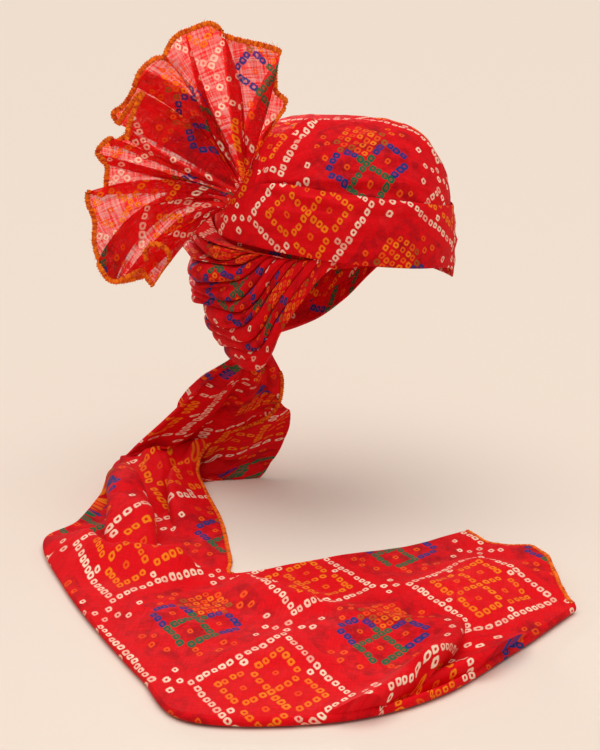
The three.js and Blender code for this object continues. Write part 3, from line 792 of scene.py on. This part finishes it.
# Millimetres round the band to a degree of bearing, and from its outer to its inner layer when flat
BAND_AROUND, BAND_BACK = 1.69, 60
BAND_CREASES = table(
    "x0 y0 x1 y1 bow high wide lean",
    (-200, 54, -96, 60, -5, 2.6, 1.5, 0.6), (-196, 62, -120, 66, -3, 1.4, 2, 0.3),
    (-204, 48, -86, 46, 4, 1.5, 2.6, -0.3), (-206, 42, -70, 28, 5, 1.8, 3, 0.3),
    (-208, 36, -120, 22, 2, 1.6, 2.2, 0), (-150, 64, -40, 58, 3, 1.4, 1.7, 0.3),
    (-120, 36, 30, 18, 4, 1.2, 2.8, 0), (-90, 20, 10, 10, 2, 1.2, 2.4, 0),
    (-60, 48, 60, 34, 3, 1.1, 2.6, 0), (-20, 30, 60, 6, 3, 1, 3, 0), (20, 34, 200, 36, 3, 1.4, 3, 0))
BAND_PLEATS = table(
    "x0 y0 x1 y1 bow high drop ridge reach",
    (-118, 62, -196, 71, 1, 1.5, 1.0, 5, 8), (-104, 58, -182, 66, 1, 1.3, 0.9, 4, 7),
    (-150, 38, -212, 47, 1, 1.3, 0.9, 5, 9), (-40, 34, -206, 58, 2, 0.8, 0.6, 7, 12),
    (60, 16, -150, 27, 2, 0.8, 0.5, 6, 11), (-20, 52, -150, 62, 1, 0.9, 0.6, 5, 8))


def brow_band(material):
    """Folded band round the brow: a flattened ring section, rounded at its two folded edges, swept
    by bearing between the band's lower and upper edge, with creases that run out from behind."""
    first, last = BAND_EDGES["bearing"][[0, -1]]
    bearing, turn = np.meshgrid(np.linspace(first, last, BAND_STEPS),
                                np.linspace(0, 2 * np.pi, BAND_SIDES), indexing="ij")
    low, high = (column(BAND_EDGES, "bearing", k, bearing) for k in ("low", "high"))
    height = (low + high) / 2 - (high - low) / 2 * signed_power(np.cos(turn), 0.72)
    around = BAND_AROUND * bearing
    face = np.sin(turn)
    folds = (BAND_CREASED * creases(around, height, BAND_CREASES)
             + BAND_WRINKLE * wander(0.5 * around, 2 * height, 26, seed=8)
             + pleats(around, height, BAND_PLEATS))
    close = BAND_CLOSE * window(bearing, (-55, -5), (50, 110))
    lift = BAND_LIFT - close + lip_rise(bearing, height) + BAND_PLY * signed_power(face, 0.6)
    points = on_form(bearing, height, lift + folds * np.clip(face, 0, 1) ** 0.5)
    flat = np.stack([around, height - BAND_BACK * (face < -1e-6)], -1)
    return cloth_piece("brow_band_cloth", points, placed(flat, **BAND_DYED), material)


ROLL_LIFT, ROLL_GAP = 3.4, 0.12
ROLL_FLOOR = 0.5
ROLL_SOFT = 0.05
ROLL_STEPS, ROLL_SIDES = 200, 41
# The side of a roll's section that faces out
FRONT = ROLL_SIDES // 4
# Rough length of a roll and girth to a radian, which set the grain of its wrinkles
ROLL_RUN, ROLL_GIRTH = 260, 6


def roll_edges(turn, height):
    """Shares of the band's height at which the rolls meet, by turn: each keeps its own height above the
    lower edge, so that the upper ones slip under the brow band one after another, and all waver."""
    ends = np.concatenate([[0], np.cumsum(ROLLS["share"])]) / ROLLS["share"].sum()
    edges = [0 * turn]
    for k, end in enumerate(ends[1:-1], 1):
        up = (1 - end) * height.max() / height
        up = up - ROLL_SOFT * np.logaddexp(0, (up - 1) / ROLL_SOFT)
        waver = (0.022 * np.sin(2 * np.pi * (1.7 * turn + 0.37 * k))
                 + 0.016 * np.sin(2 * np.pi * (3.9 * turn + 0.29 * k * k)))
        edges.append(1 - up + waver * window(turn, (0.1, 0.3), (0.8, 1)) * smooth(1 - up, 0, 0.1))
    return [*edges, 1 + 0 * turn]


def roll_wrinkles(turn, angle, across, k):
    """Share by which a roll swells: slow uneven waves along it and fine ones round it, less a side
    crease that wanders across it and comes and goes."""
    run, girth = ROLL_RUN * turn, ROLL_GIRTH * angle + 40 * k
    swell = (0.19 * wander(run, 0.2 * girth, 42, seed=20 + k)
             + 0.05 * wander(0.5 * run, girth, 14, seed=40 + k))
    crease_at = 0.52 + 0.26 * np.sin(2 * np.pi * (1.3 * turn + 0.61 * k))
    crease = (0.3 * np.exp(-((across - crease_at) / 0.09) ** 2)
              * np.sin(2 * np.pi * (2 * turn + 0.3 * k)) ** 2)
    return swell - crease


def grid_steps(points, axis):
    """Lengths of the steps along one way of a grid of points."""
    return np.linalg.norm(np.diff(points, axis=axis), axis=-1)


def back_rolls(material):
    """Gathered rolls round the back: half-round sections that share the band's height between them,
    each swelling out by the band's depth from a common floor, and wrinkled."""
    turn, angle = np.meshgrid(np.linspace(0, 1, ROLL_STEPS), np.linspace(0, 2 * np.pi, ROLL_SIDES),
                              indexing="ij")
    bearing = ROLL_START + (ROLL_END - ROLL_START) * turn
    top, bottom, depth = (column(ROLL_BAND, "turn", k, turn) for k in ("top", "bottom", "depth"))
    edges = roll_edges(turn, top - bottom)
    middle = np.sin(np.pi * turn) ** 0.5
    across = 0.5 - 0.5 * signed_power(np.cos(angle), 0.8)
    bulge = np.clip(np.sin(angle), 0, 1)
    section = ROLL_FLOOR * smooth(bulge, 0, 0.14) + (1 - ROLL_FLOOR) * bulge ** 0.8
    pieces = []
    for k, (_, swell, dyed_along, dyed_up) in enumerate(zip(*ROLLS.values())):
        high = top + (bottom - top) * edges[k] - ROLL_GAP
        low = top + (bottom - top) * edges[k + 1] + ROLL_GAP
        out = depth * section * (1 + (swell - 1) * middle)
        out = out * (1 + roll_wrinkles(turn, angle, across, k) * middle)
        points = on_form(bearing, high + (low - high) * across, ROLL_LIFT + out)
        girth = np.concatenate([np.zeros((len(turn), 1)), grid_steps(points, 1).cumsum(1)], 1)
        along = np.concatenate([[0], grid_steps(points, 0)[:, FRONT].cumsum()])[:, None]
        flat = np.stack([along + 0 * girth, girth - girth[:, FRONT, None]], -1)
        dyed = placed(flat, (dyed_along, dyed_up), "medallion", ROLL_DYED_TURN * (-1) ** k)
        pieces.append(cloth_piece(f"back_roll_{k + 1}_cloth", points, dyed, material))
    return pieces


# The fan

FAN_STEPS, FAN_ROWS = 10, 72
FAN_INNER = 0.02
FAN_SWAY, FAN_RIPPLE, FAN_CRINKLE = 1.6, 1.3, 1.1
# Share of the reach within which the fan closes onto its gather
FAN_CLOSED = 0.42


def fan_points(order, share):
    """Place on the fan: at each fold line's order along the hem, out from the fan's middle by a share
    of its reach, turned by its bearing and tuck and standing out to the front, with fine creases
    that run out from the gather; near the gather it closes onto a short line on the crown."""
    count = len(FAN_FOLDS["bearing"])
    rank = np.arange(count, dtype=float)
    bearing, reach, stand, tuck = (curve(rank, values, order, level_turns=True)
                                   for values in FAN_FOLDS.values())
    sway = FAN_SWAY * wander(order * 3, 0 * share, 9, seed=63) * 4 * share * (1 - share)
    angle = np.radians(bearing + 2 * tuck * (1 - share) + sway)
    facing = -AWAY * math.cos(FAN_LEAN) + UP * math.sin(FAN_LEAN)
    rising = UP * math.cos(FAN_LEAN) + AWAY * math.sin(FAN_LEAN)
    gather = FAN_GATHER["along"] * ALONG + FAN_GATHER["away"] * AWAY + FAN_GATHER["height"] * UP
    middle = gather + FAN_MIDDLE["along"] * ALONG + FAN_MIDDLE["rise"] * rising
    u = order / (count - 1)
    base = on_form(*(FAN_BASE[k][0] + (FAN_BASE[k][1] - FAN_BASE[k][0]) * u
                     for k in ("bearing", "height")), FAN_BASE["lift"])
    out = share * reach
    ripple = (FAN_RIPPLE * wander(order * 14, out * 0.12, 12, seed=61) * share * (1.15 - share)
              + FAN_CRINKLE * wander(order * 34, out * 0.06, 12, seed=62)
              * window(share, (0.1, 0.3), (0.3, 0.8)))
    spread = (middle + (out * np.cos(angle))[..., None] * ALONG
              + (out * np.sin(angle))[..., None] * rising
              + (stand * share ** 0.8 + ripple)[..., None] * facing)
    return base + (spread - base) * smooth(share, 0, FAN_CLOSED)[..., None], reach


def fan_flat(points, order, along_fold):
    """Flat cloth places for the fan: every panel between two turns of the hem is laid flat by itself,
    the way across it measured from its middle line and the way along it from the gather."""
    step = grid_steps(points, 0)
    run = np.concatenate([0 * step[:1], np.cumsum(step, axis=0)])
    way = np.sign(np.diff(FAN_FOLDS["bearing"]))
    panel_of = np.concatenate([[0], np.cumsum(way[1:] != way[:-1])])
    panel = panel_of[np.floor((order[1:, 0] + order[:-1, 0]) / 2).astype(int)]
    middles = [round(np.flatnonzero(panel == k).mean()) for k in range(panel[-1] + 1)]
    middle = np.array(middles)[panel]
    across = run[middle][:, -1:] - run[middle]
    return np.stack([np.stack([across + run[:-1], along_fold[:-1]], -1),
                     np.stack([across + run[1:], along_fold[1:]], -1)])


def fan(material):
    """The pleated fan as one sheet on a grid of order along the hem by share out from the gather. Also
    gives its rim and the way in from it."""
    count = len(FAN_FOLDS["bearing"])
    order, share = np.meshgrid(np.linspace(0, count - 1, (count - 1) * FAN_STEPS + 1),
                               np.linspace(FAN_INNER, 1, FAN_ROWS), indexing="ij")
    points, reach = fan_points(order, share)
    flat = fan_flat(points, order, share * reach)
    at = flat[0, round(FAN_MEDALLION["order"] * FAN_STEPS), round(FAN_MEDALLION["share"] * FAN_ROWS)]
    piece = cloth_piece("fan_cloth", points, placed(flat, at, **FAN_DYED), material)
    near = piece.data.attributes.new("near_gather", "FLOAT", "POINT")
    near.data.foreach_set("value", np.ascontiguousarray(1 - share, np.float32).ravel())
    rim = points[:, -1]
    return piece, rim, unit(points[:, -4] - rim)


# The tail

TAIL_ROWS, TAIL_ACROSS, TAIL_BENEATH = 480, 140, 34
TAIL_SWELL, TAIL_CREASE = 2.4, 0.9
TAIL_LOWEST = TABLE_Z + 0.4
# How much the cloth's depth on the table is drawn in on the flat cloth
TAIL_DEPTH = 1.5
# Share of the layer beneath that goes round the doubled edge
TAIL_ROUND = 0.4
FALL_DEPTH = 9
# Shape of a fold's lip, as shares of its reach and height, and how wide its sides ease out
LIP_WIDTH, LIP_BULGE, LIP_TUCK = 1.3, 0.4, 0.7
LEAN_EASE, TUCK_EASE, DIP_EASE = 20, 14, 8
# How fast a fold fades past its ends, and how far from its line it still takes up cloth
FOLD_PAST, FOLD_FADE = 10, 110
# Fold lines of the tail, each along and away on the table: both edges of the flap below the elbow,
# the left edge of the hemmed panel beside it, the front panel's upper edge, the slit beside the
# inner corner, and the two long folds towards the free end
TAIL_FOLDS = (
    dict(line=((-142, -165), (-158, -135), (-169, -84), (-188, -8), (-205, 40)), high=20, reach=9,
         ridge=22, dip=16, start=0.46),
    dict(line=((-206, 36), (-193, -33), (-186, -102), (-183, -160)), high=12, reach=5, ridge=16, dip=13,
         start=0.2, stop=0.4),
    dict(line=((-136, 96), (-139, 54), (-139, 6), (-136, -44), (-130, -96)), high=13, reach=7, ridge=20,
         dip=15, start=0.45, stop=0.5),
    dict(line=((-104, -180), (-131, -172), (-160, -172), (-188, -170), (-206, -150), (-224, -96)), high=16,
         reach=8, ridge=26, dip=6, start=0.25, stop=0.12),
    dict(line=((-4, -271), (-35, -251), (-58, -227), (-82, -196)), high=9, reach=7, ridge=26, start=0.3,
         stop=0.1),
    dict(line=((-2, -455), (19, -432), (48, -394), (65, -362), (82, -324), (93, -284)), high=14, reach=9,
         ridge=15, dip=8, start=0.1, stop=0.35, takes=0.9),
    dict(line=((44, -400), (72, -383), (98, -366), (125, -345), (152, -318)), high=12, reach=8, ridge=14,
         dip=8, start=0.12, stop=0.2, takes=0.6))


def tail_edges(length):
    """Hem edge and fold edge of the tail at a length."""
    return [on_table(*(column(TAIL_SECTIONS, "length", f"{edge}_{k}", length)
                       for k in ("along", "away", "up"))) + TABLE_Z * UP for edge in ("hem", "fold")]


def tail_axes(length):
    """Edges of the tail at a length, and its directions: across from hem to fold, onward and up."""
    hem, fold = tail_edges(length)
    onward = unit(sum(tail_edges(np.clip(length + 0.02, 0, 1)))
                  - sum(tail_edges(np.clip(length - 0.02, 0, 1))))
    across = unit(fold - hem)
    up = unit(np.cross(across, onward))
    return hem, fold, across, onward, np.where(up[..., 2:] < 0, -up, up)


def tail_top(length, share):
    """Upper layer of the tail: from hem to fold, rising to the doubled edge, swelling between and
    bowed out at its end. Also gives the way up from it."""
    hem, fold, _, onward, up = tail_axes(length)
    bend, crest = (column(TAIL_SECTIONS, "length", k, length) for k in ("bend", "crest"))
    lift = 2 * bend * smooth(share, 0.2, 0.75) + crest * np.sin(np.pi * share) ** 2
    bow = TAIL_END_BOW * smooth(length, 0.85, 1) * window(share, (0.12, 0.45), (0.5, 1))
    return hem + (fold - hem) * share[..., None] + bow[..., None] * onward + lift[..., None] * up, up


def tail_under(length, share):
    """The doubled edge and the layer that runs back beneath: round the bend, then flat. Also gives
    the way along the cloth from the edge, the share of the width run back, and the way up."""
    hem, fold, across, _, up = tail_axes(length)
    bend, under = (column(TAIL_SECTIONS, "length", k, length) for k in ("bend", "under"))
    angle = np.pi * np.clip(share / TAIL_ROUND, 0, 1)
    back = np.clip((share - TAIL_ROUND) / (1 - TAIL_ROUND), 0, 1) * under
    inward = fold + (hem - fold) * back[..., None]
    inward[..., 2] += (fold[..., 2] - inward[..., 2]) * smooth(length, 0.14, 0.26)
    points = (inward + (bend * np.sin(angle))[..., None] * across
              + (bend * (1 + np.cos(angle)))[..., None] * up)
    return points, bend * angle + back * np.linalg.norm(hem - fold, axis=-1), back, up


def fold_profile(off, high, reach, ridge, dip):
    """How far a fold leans over and how far it rises, by the distance across its line."""
    past_lip = np.clip(off / (LIP_WIDTH * reach), 0, 1)
    down = smooth(past_lip, 0, 1)
    bulge = LIP_BULGE * high * np.sin(np.pi * past_lip)
    tuck = LIP_TUCK * reach * down * np.exp(-(off / (ridge + TUCK_EASE)) ** 2)
    lean = np.where(off < 0, reach * np.exp(-(off / (ridge + LEAN_EASE)) ** 2),
                    reach * (1 - down) + bulge - tuck)
    rise = np.where(off < 0, high * np.exp(-(off / ridge) ** 2),
                    (high + dip) * (1 - down) - dip * np.exp(-(off / (ridge + DIP_EASE)) ** 2))
    return lean, rise


def folded_over(points, line, high, reach, ridge, dip=0, start=0.15, stop=0.15, takes=0):
    """A layer that overhangs the next along a line on the table, given along and away: points to the
    left of the line rise by `high` within the width of a ridge and lean `reach` to the right, and
    those to its right tuck in beneath the lip and sink by `dip`. Also gives the share `takes` of the
    cloth that the fold takes up, as a shift across the line."""
    line = np.array(line, float)
    knots = np.linspace(0, 1, len(line))
    fine = np.linspace(0, 1, 240)
    path = np.stack([curve(knots, line[:, k], fine) for k in (0, 1)], -1)
    way = unit(np.gradient(path, axis=0))
    place = np.stack([points @ ALONG, points @ AWAY], -1)
    near = np.argmin(sum((place[..., k, None] - path[:, k]) ** 2 for k in (0, 1)), -1)
    side = np.stack([way[:, 1], -way[:, 0]], -1)[near]
    gap = place - path[near]
    off = (gap * side).sum(-1)
    past = np.sqrt(np.maximum((gap ** 2).sum(-1) - off ** 2, 0))
    strong = window(fine, (0, start), (1 - stop, 1))[near] * np.exp(-(past / FOLD_PAST) ** 2)
    lean, rise = fold_profile(off, high, reach, ridge, dip)
    across = np.linspace(-FOLD_FADE, FOLD_FADE, 481)
    over_lean, over_rise = fold_profile(across, high, reach, ridge, dip)
    taken = arc_length(np.stack([across + over_lean, over_rise], -1)) - (across - across[0])
    taken = np.interp(off, across, taken) * np.exp(-(np.maximum(off, 0) / FOLD_FADE) ** 2)
    move = side * (strong * lean)[..., None]
    moved = points + move[..., :1] * ALONG + move[..., 1:] * AWAY + (strong * rise)[..., None] * UP
    return moved, side * (takes * strong * taken)[..., None]


def softened(points, times):
    """Each inner point of a grid averaged with its neighbours, along both ways of the grid."""
    for _ in range(times):
        for inner in (points, points.swapaxes(0, 1)):
            inner[1:-1] = (inner[:-2] + 2 * inner[1:-1] + inner[2:]) / 4
    return points


def fall_folds(length, share):
    """Long rope-like folds down the falling part: rounded ridges with narrow valleys between them,
    drifting across the width as they fall."""
    wave = (np.abs(np.sin(np.pi * (2.6 * share + 0.3 + 1.6 * length))) ** 0.8
            + 0.4 * np.abs(np.sin(np.pi * (4.3 * share + 0.1 - 2.2 * length))))
    return FALL_DEPTH * (0.8 - wave) * window(length, (0, 0.1), (0.25, 0.42))


def tail(material):
    """The tail as one sheet: an upper layer and the layer folded back beneath it, on a grid of length
    by share of the width. Its place on the flat cloth is its place on the table, with the depth
    drawn in, and on from the doubled edge by the way along the cloth. Also gives its hem edge and its
    end, each with the way in from it."""
    lengths = np.linspace(0, 1, TAIL_ROWS)
    length, share = np.meshgrid(lengths, np.linspace(0, 1, TAIL_ACROSS), indexing="ij")
    length_u, share_u = np.meshgrid(lengths, np.linspace(0, 1, TAIL_BENEATH)[1:], indexing="ij")
    top, up = tail_top(length, share)
    under, way_round, back, under_up = tail_under(length_u, share_u)
    along, away = top @ ALONG, top @ AWAY
    falling = (top[..., 2] - TABLE_Z) * (1 - smooth(length, 0.26, 0.42))
    flat = np.stack([along, away / TAIL_DEPTH - 0.6 * falling], -1)
    loose = smooth(length, 0.02, 0.12) * np.sin(np.pi * np.clip(share, 0.02, 0.98)) ** 0.5
    swell = TAIL_SWELL * wander(along, away, 80, seed=11) + TAIL_CREASE * wander(along, away, 30, seed=12)
    top = top + (loose * swell + fall_folds(length, share))[..., None] * up
    under = under + fall_folds(length_u, 1 - back)[..., None] * under_up
    for fold in TAIL_FOLDS:
        top, taken = folded_over(top, **fold)
        flat = flat + taken / (1, TAIL_DEPTH)
    onto = unit(flat[:, -1:] - flat[:, -6:-5])
    flat = np.concatenate([flat, flat[:, -1:] + onto * way_round[..., None]], 1)
    points = np.concatenate([softened(top, 2), under], 1)
    points[..., 2] = np.maximum(points[..., 2], TAIL_LOWEST)
    piece = cloth_piece("tail_cloth", points, placed(flat, **TAIL_DYED), material, flip=True)
    return piece, points[:, 0], unit(points[:, 3] - points[:, 0]), top[-1], unit(top[-4] - top[-1])


# Hems and loose threads

HEM_STEP, HEM_GIRTH = 0.55, 9
HEM_LOOP = 2.3
STRAND_STEPS, STRAND_SIDES, STRAND_THICK = 6, 3, 0.2


def overlocked_hem(name, path, inward, material, wide=2.2, thick=0.8, seed=0):
    """Orange overlocking on an edge: a flat ring section along the path, its size beating with the
    thread loops. Also gives the path in even steps, the way in from it and the way out."""
    run = arc_length(path)
    at = np.linspace(0, run[-1], int(run[-1] / HEM_STEP))
    even = read_along(run, path, at)
    inside = unit(read_along(run, inward, at))
    onward = unit(np.gradient(even, axis=0))
    inside = unit(inside - (inside * onward).sum(-1, keepdims=True) * onward)
    out = np.cross(onward, inside)
    beat = 1 + 0.16 * np.sin(2 * np.pi * at / HEM_LOOP) + 0.1 * wander(at, 0 * at, 3, seed)
    points = tube_grid(even + 0.55 * wide * inside, inside, out, wide * beat, thick * beat)
    girth = np.linspace(0, HEM_GIRTH, HEM_SIDES + 1)
    flat = np.stack(np.meshgrid(girth, at, indexing="ij")[::-1], -1)
    return cloth_piece(name, points, flat, material), even, inside, out


def loose_threads(name, path, inside, out, count, material, seed, long):
    """Frayed threads on a hem: thin three-sided strands that start on the path and curl away."""
    rng = np.random.default_rng(seed)
    at = rng.integers(2, len(path) - 2, count)
    size = rng.uniform(*long, count)[:, None, None] * rng.uniform(0.4, 1, count)[:, None, None]
    onward = np.cross(inside[at], out[at])
    way = unit(-inside[at] + 0.9 * rng.normal(size=(count, 1)) * onward
               + 0.7 * rng.normal(size=(count, 1)) * out[at])
    bend = 0.7 * rng.normal(size=(count, 3))
    step = np.linspace(0, 1, STRAND_STEPS)[None, :, None]
    line = path[at][:, None] + size * (way[:, None] * step + bend[:, None] * step ** 2)
    ring = STRAND_THICK * np.stack([inside[at], onward, -inside[at] - onward], 1)
    points = line[:, :, None] + ring[:, None] * (1.2 - step[..., None])
    index = np.arange(points[..., 0].size).reshape(count, STRAND_STEPS, STRAND_SIDES)
    turned = np.roll(index, -1, axis=2)
    faces = np.stack([index[:, :-1], turned[:, :-1], turned[:, 1:], index[:, 1:]], -1).reshape(-1, 4)
    places = np.zeros((len(faces), 4, 2)) + rng.uniform(0, 0.3, (len(faces), 1, 2))
    return mesh_object(name, points.reshape(-1, 3) * MM, faces, places, material)


# The turban

DOTS = tied_dots()
WEAVE = cloth_weave()
WOUND = cloth_material("wound_cloth", DOTS, WEAVE, cover=1, glow=0.06, bump=0.5)
SHEER = cloth_material("sheer_cloth", DOTS, WEAVE, cover=0.66, glow=0.5, bump=0.4)
TRAILING = cloth_material("tail_cloth", DOTS, WEAVE, cover=1, glow=0.08, bump=0.5)
ORANGE = overlock_material()
# The tail's hem shows from here to here along its length
HEM_FROM, HEM_TO = round(0.1 * TAIL_ROWS), round(0.65 * TAIL_ROWS)

cap = crown_cap(WOUND)
wrap = crown_wrap(WOUND)
band = brow_band(WOUND)
rolls = back_rolls(WOUND)
fan_sheet, fan_rim, fan_inward = fan(SHEER)
fan_hem, rim, rim_inside, rim_out = overlocked_hem("fan_hem", fan_rim, fan_inward, ORANGE, seed=71)
fan_threads = loose_threads("fan_hem_threads", rim, rim_inside, rim_out, 700, ORANGE, seed=72,
                            long=(0.8, 2.8))
tail_sheet, hem_edge, hem_inward, end_edge, end_inward = tail(TRAILING)
tail_hem = overlocked_hem("tail_hem", hem_edge[HEM_FROM:HEM_TO], hem_inward[HEM_FROM:HEM_TO], ORANGE,
                          wide=1.7, seed=73)[0]
end_hem, end_line, end_inside, end_out = overlocked_hem("tail_end_hem", end_edge, end_inward, ORANGE,
                                                        wide=1.7, seed=74)
end_threads = loose_threads("tail_end_threads", end_line, end_inside, end_out, 160, ORANGE, seed=75,
                            long=(0.8, 2.4))

for piece, node_name, slot in ((cap, "crown_cap", "wound_cloth"), (wrap, "crown_wrap", "wound_cloth"),
                               (band, "brow_band", "wound_cloth"), (fan_sheet, "fan", "sheer_cloth"),
                               (tail_sheet, "tail", "tail_cloth"),
                               *((roll, f"back_roll_{k + 1}", "wound_cloth")
                                 for k, roll in enumerate(rolls))):
    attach(piece, "root")
    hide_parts(node_name)
for piece, slot in ((fan_hem, "sheer_cloth"), (fan_threads, "sheer_cloth"), (tail_hem, "tail_cloth"),
                    (end_hem, "tail_cloth"), (end_threads, "tail_cloth")):
    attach(piece, "root")


# Studio

FLOOR_REACH = 30000
CAMERA_PITCH = math.radians(15.3)
CAMERA_PLACE = (0.49785, -1.44840, 0.31374)


def studio_floor():
    """Plain pale floor: a flat square under the tail, far wider than the picture."""
    side = np.linspace(-FLOOR_REACH, FLOOR_REACH, 9)
    along, away = np.meshgrid(side, side, indexing="ij")
    points = on_table(along, away, TABLE_Z + 0 * along)
    return cloth_piece("studio_floor", points, np.stack([along, away], -1), paper_material())


def set_up(name, data, place, way):
    """A light or camera at a place, turned to look a way with its top up."""
    holder = bpy.data.objects.new(name, data)
    bpy.context.scene.collection.objects.link(holder)
    back = -unit(np.array(way, float))
    right = unit(np.cross(UP, back))
    matrix = np.eye(4)
    matrix[:3] = np.stack([right, np.cross(back, right), back, place], -1)
    holder.matrix_world = Matrix(matrix)
    return holder


def lamp(name, kind, place, target, power):
    """A light at a place, turned to a target."""
    light = bpy.data.lights.new(name, kind)
    light.energy = power
    return set_up(name, light, place, np.subtract(target, place))


def round_lamp(name, place, target, size, power):
    """A round soft box."""
    holder = lamp(name, "AREA", place, target, power)
    holder.data.shape = "DISK"
    holder.data.size = size
    return holder


studio_floor()
round_lamp("key_light", (0.9, -1.9, 1.3), target=(0, 0, 0), size=1.6, power=3)
back_light = round_lamp("back_light", (-1.0, 1.0, 0.4), target=(-0.14, 0, 0.16), size=0.35, power=0.42)
back_light.data.spread = math.radians(24)
back_light.visible_camera = False
sky_light = lamp("sky_light", "SUN", (0.15, -0.3, 2.0), target=(0, 0, 0), power=2.2)
sky_light.data.angle = math.radians(70)
world = bpy.data.worlds.new("studio_air")
bpy.context.scene.world = world
world.use_nodes = True
world.node_tree.nodes["Background"].inputs["Color"].default_value = (1.0, 0.97, 0.94, 1.0)
world.node_tree.nodes["Background"].inputs["Strength"].default_value = 0.4

camera = bpy.data.cameras.new("front_camera")
camera.sensor_fit = "VERTICAL"
camera.sensor_height = 36
camera.lens = 84.67
looking = math.cos(CAMERA_PITCH) * AWAY - math.sin(CAMERA_PITCH) * UP
bpy.context.scene.camera = set_up("front_camera", camera, CAMERA_PLACE, looking)
bpy.context.scene.view_settings.view_transform = "Standard"
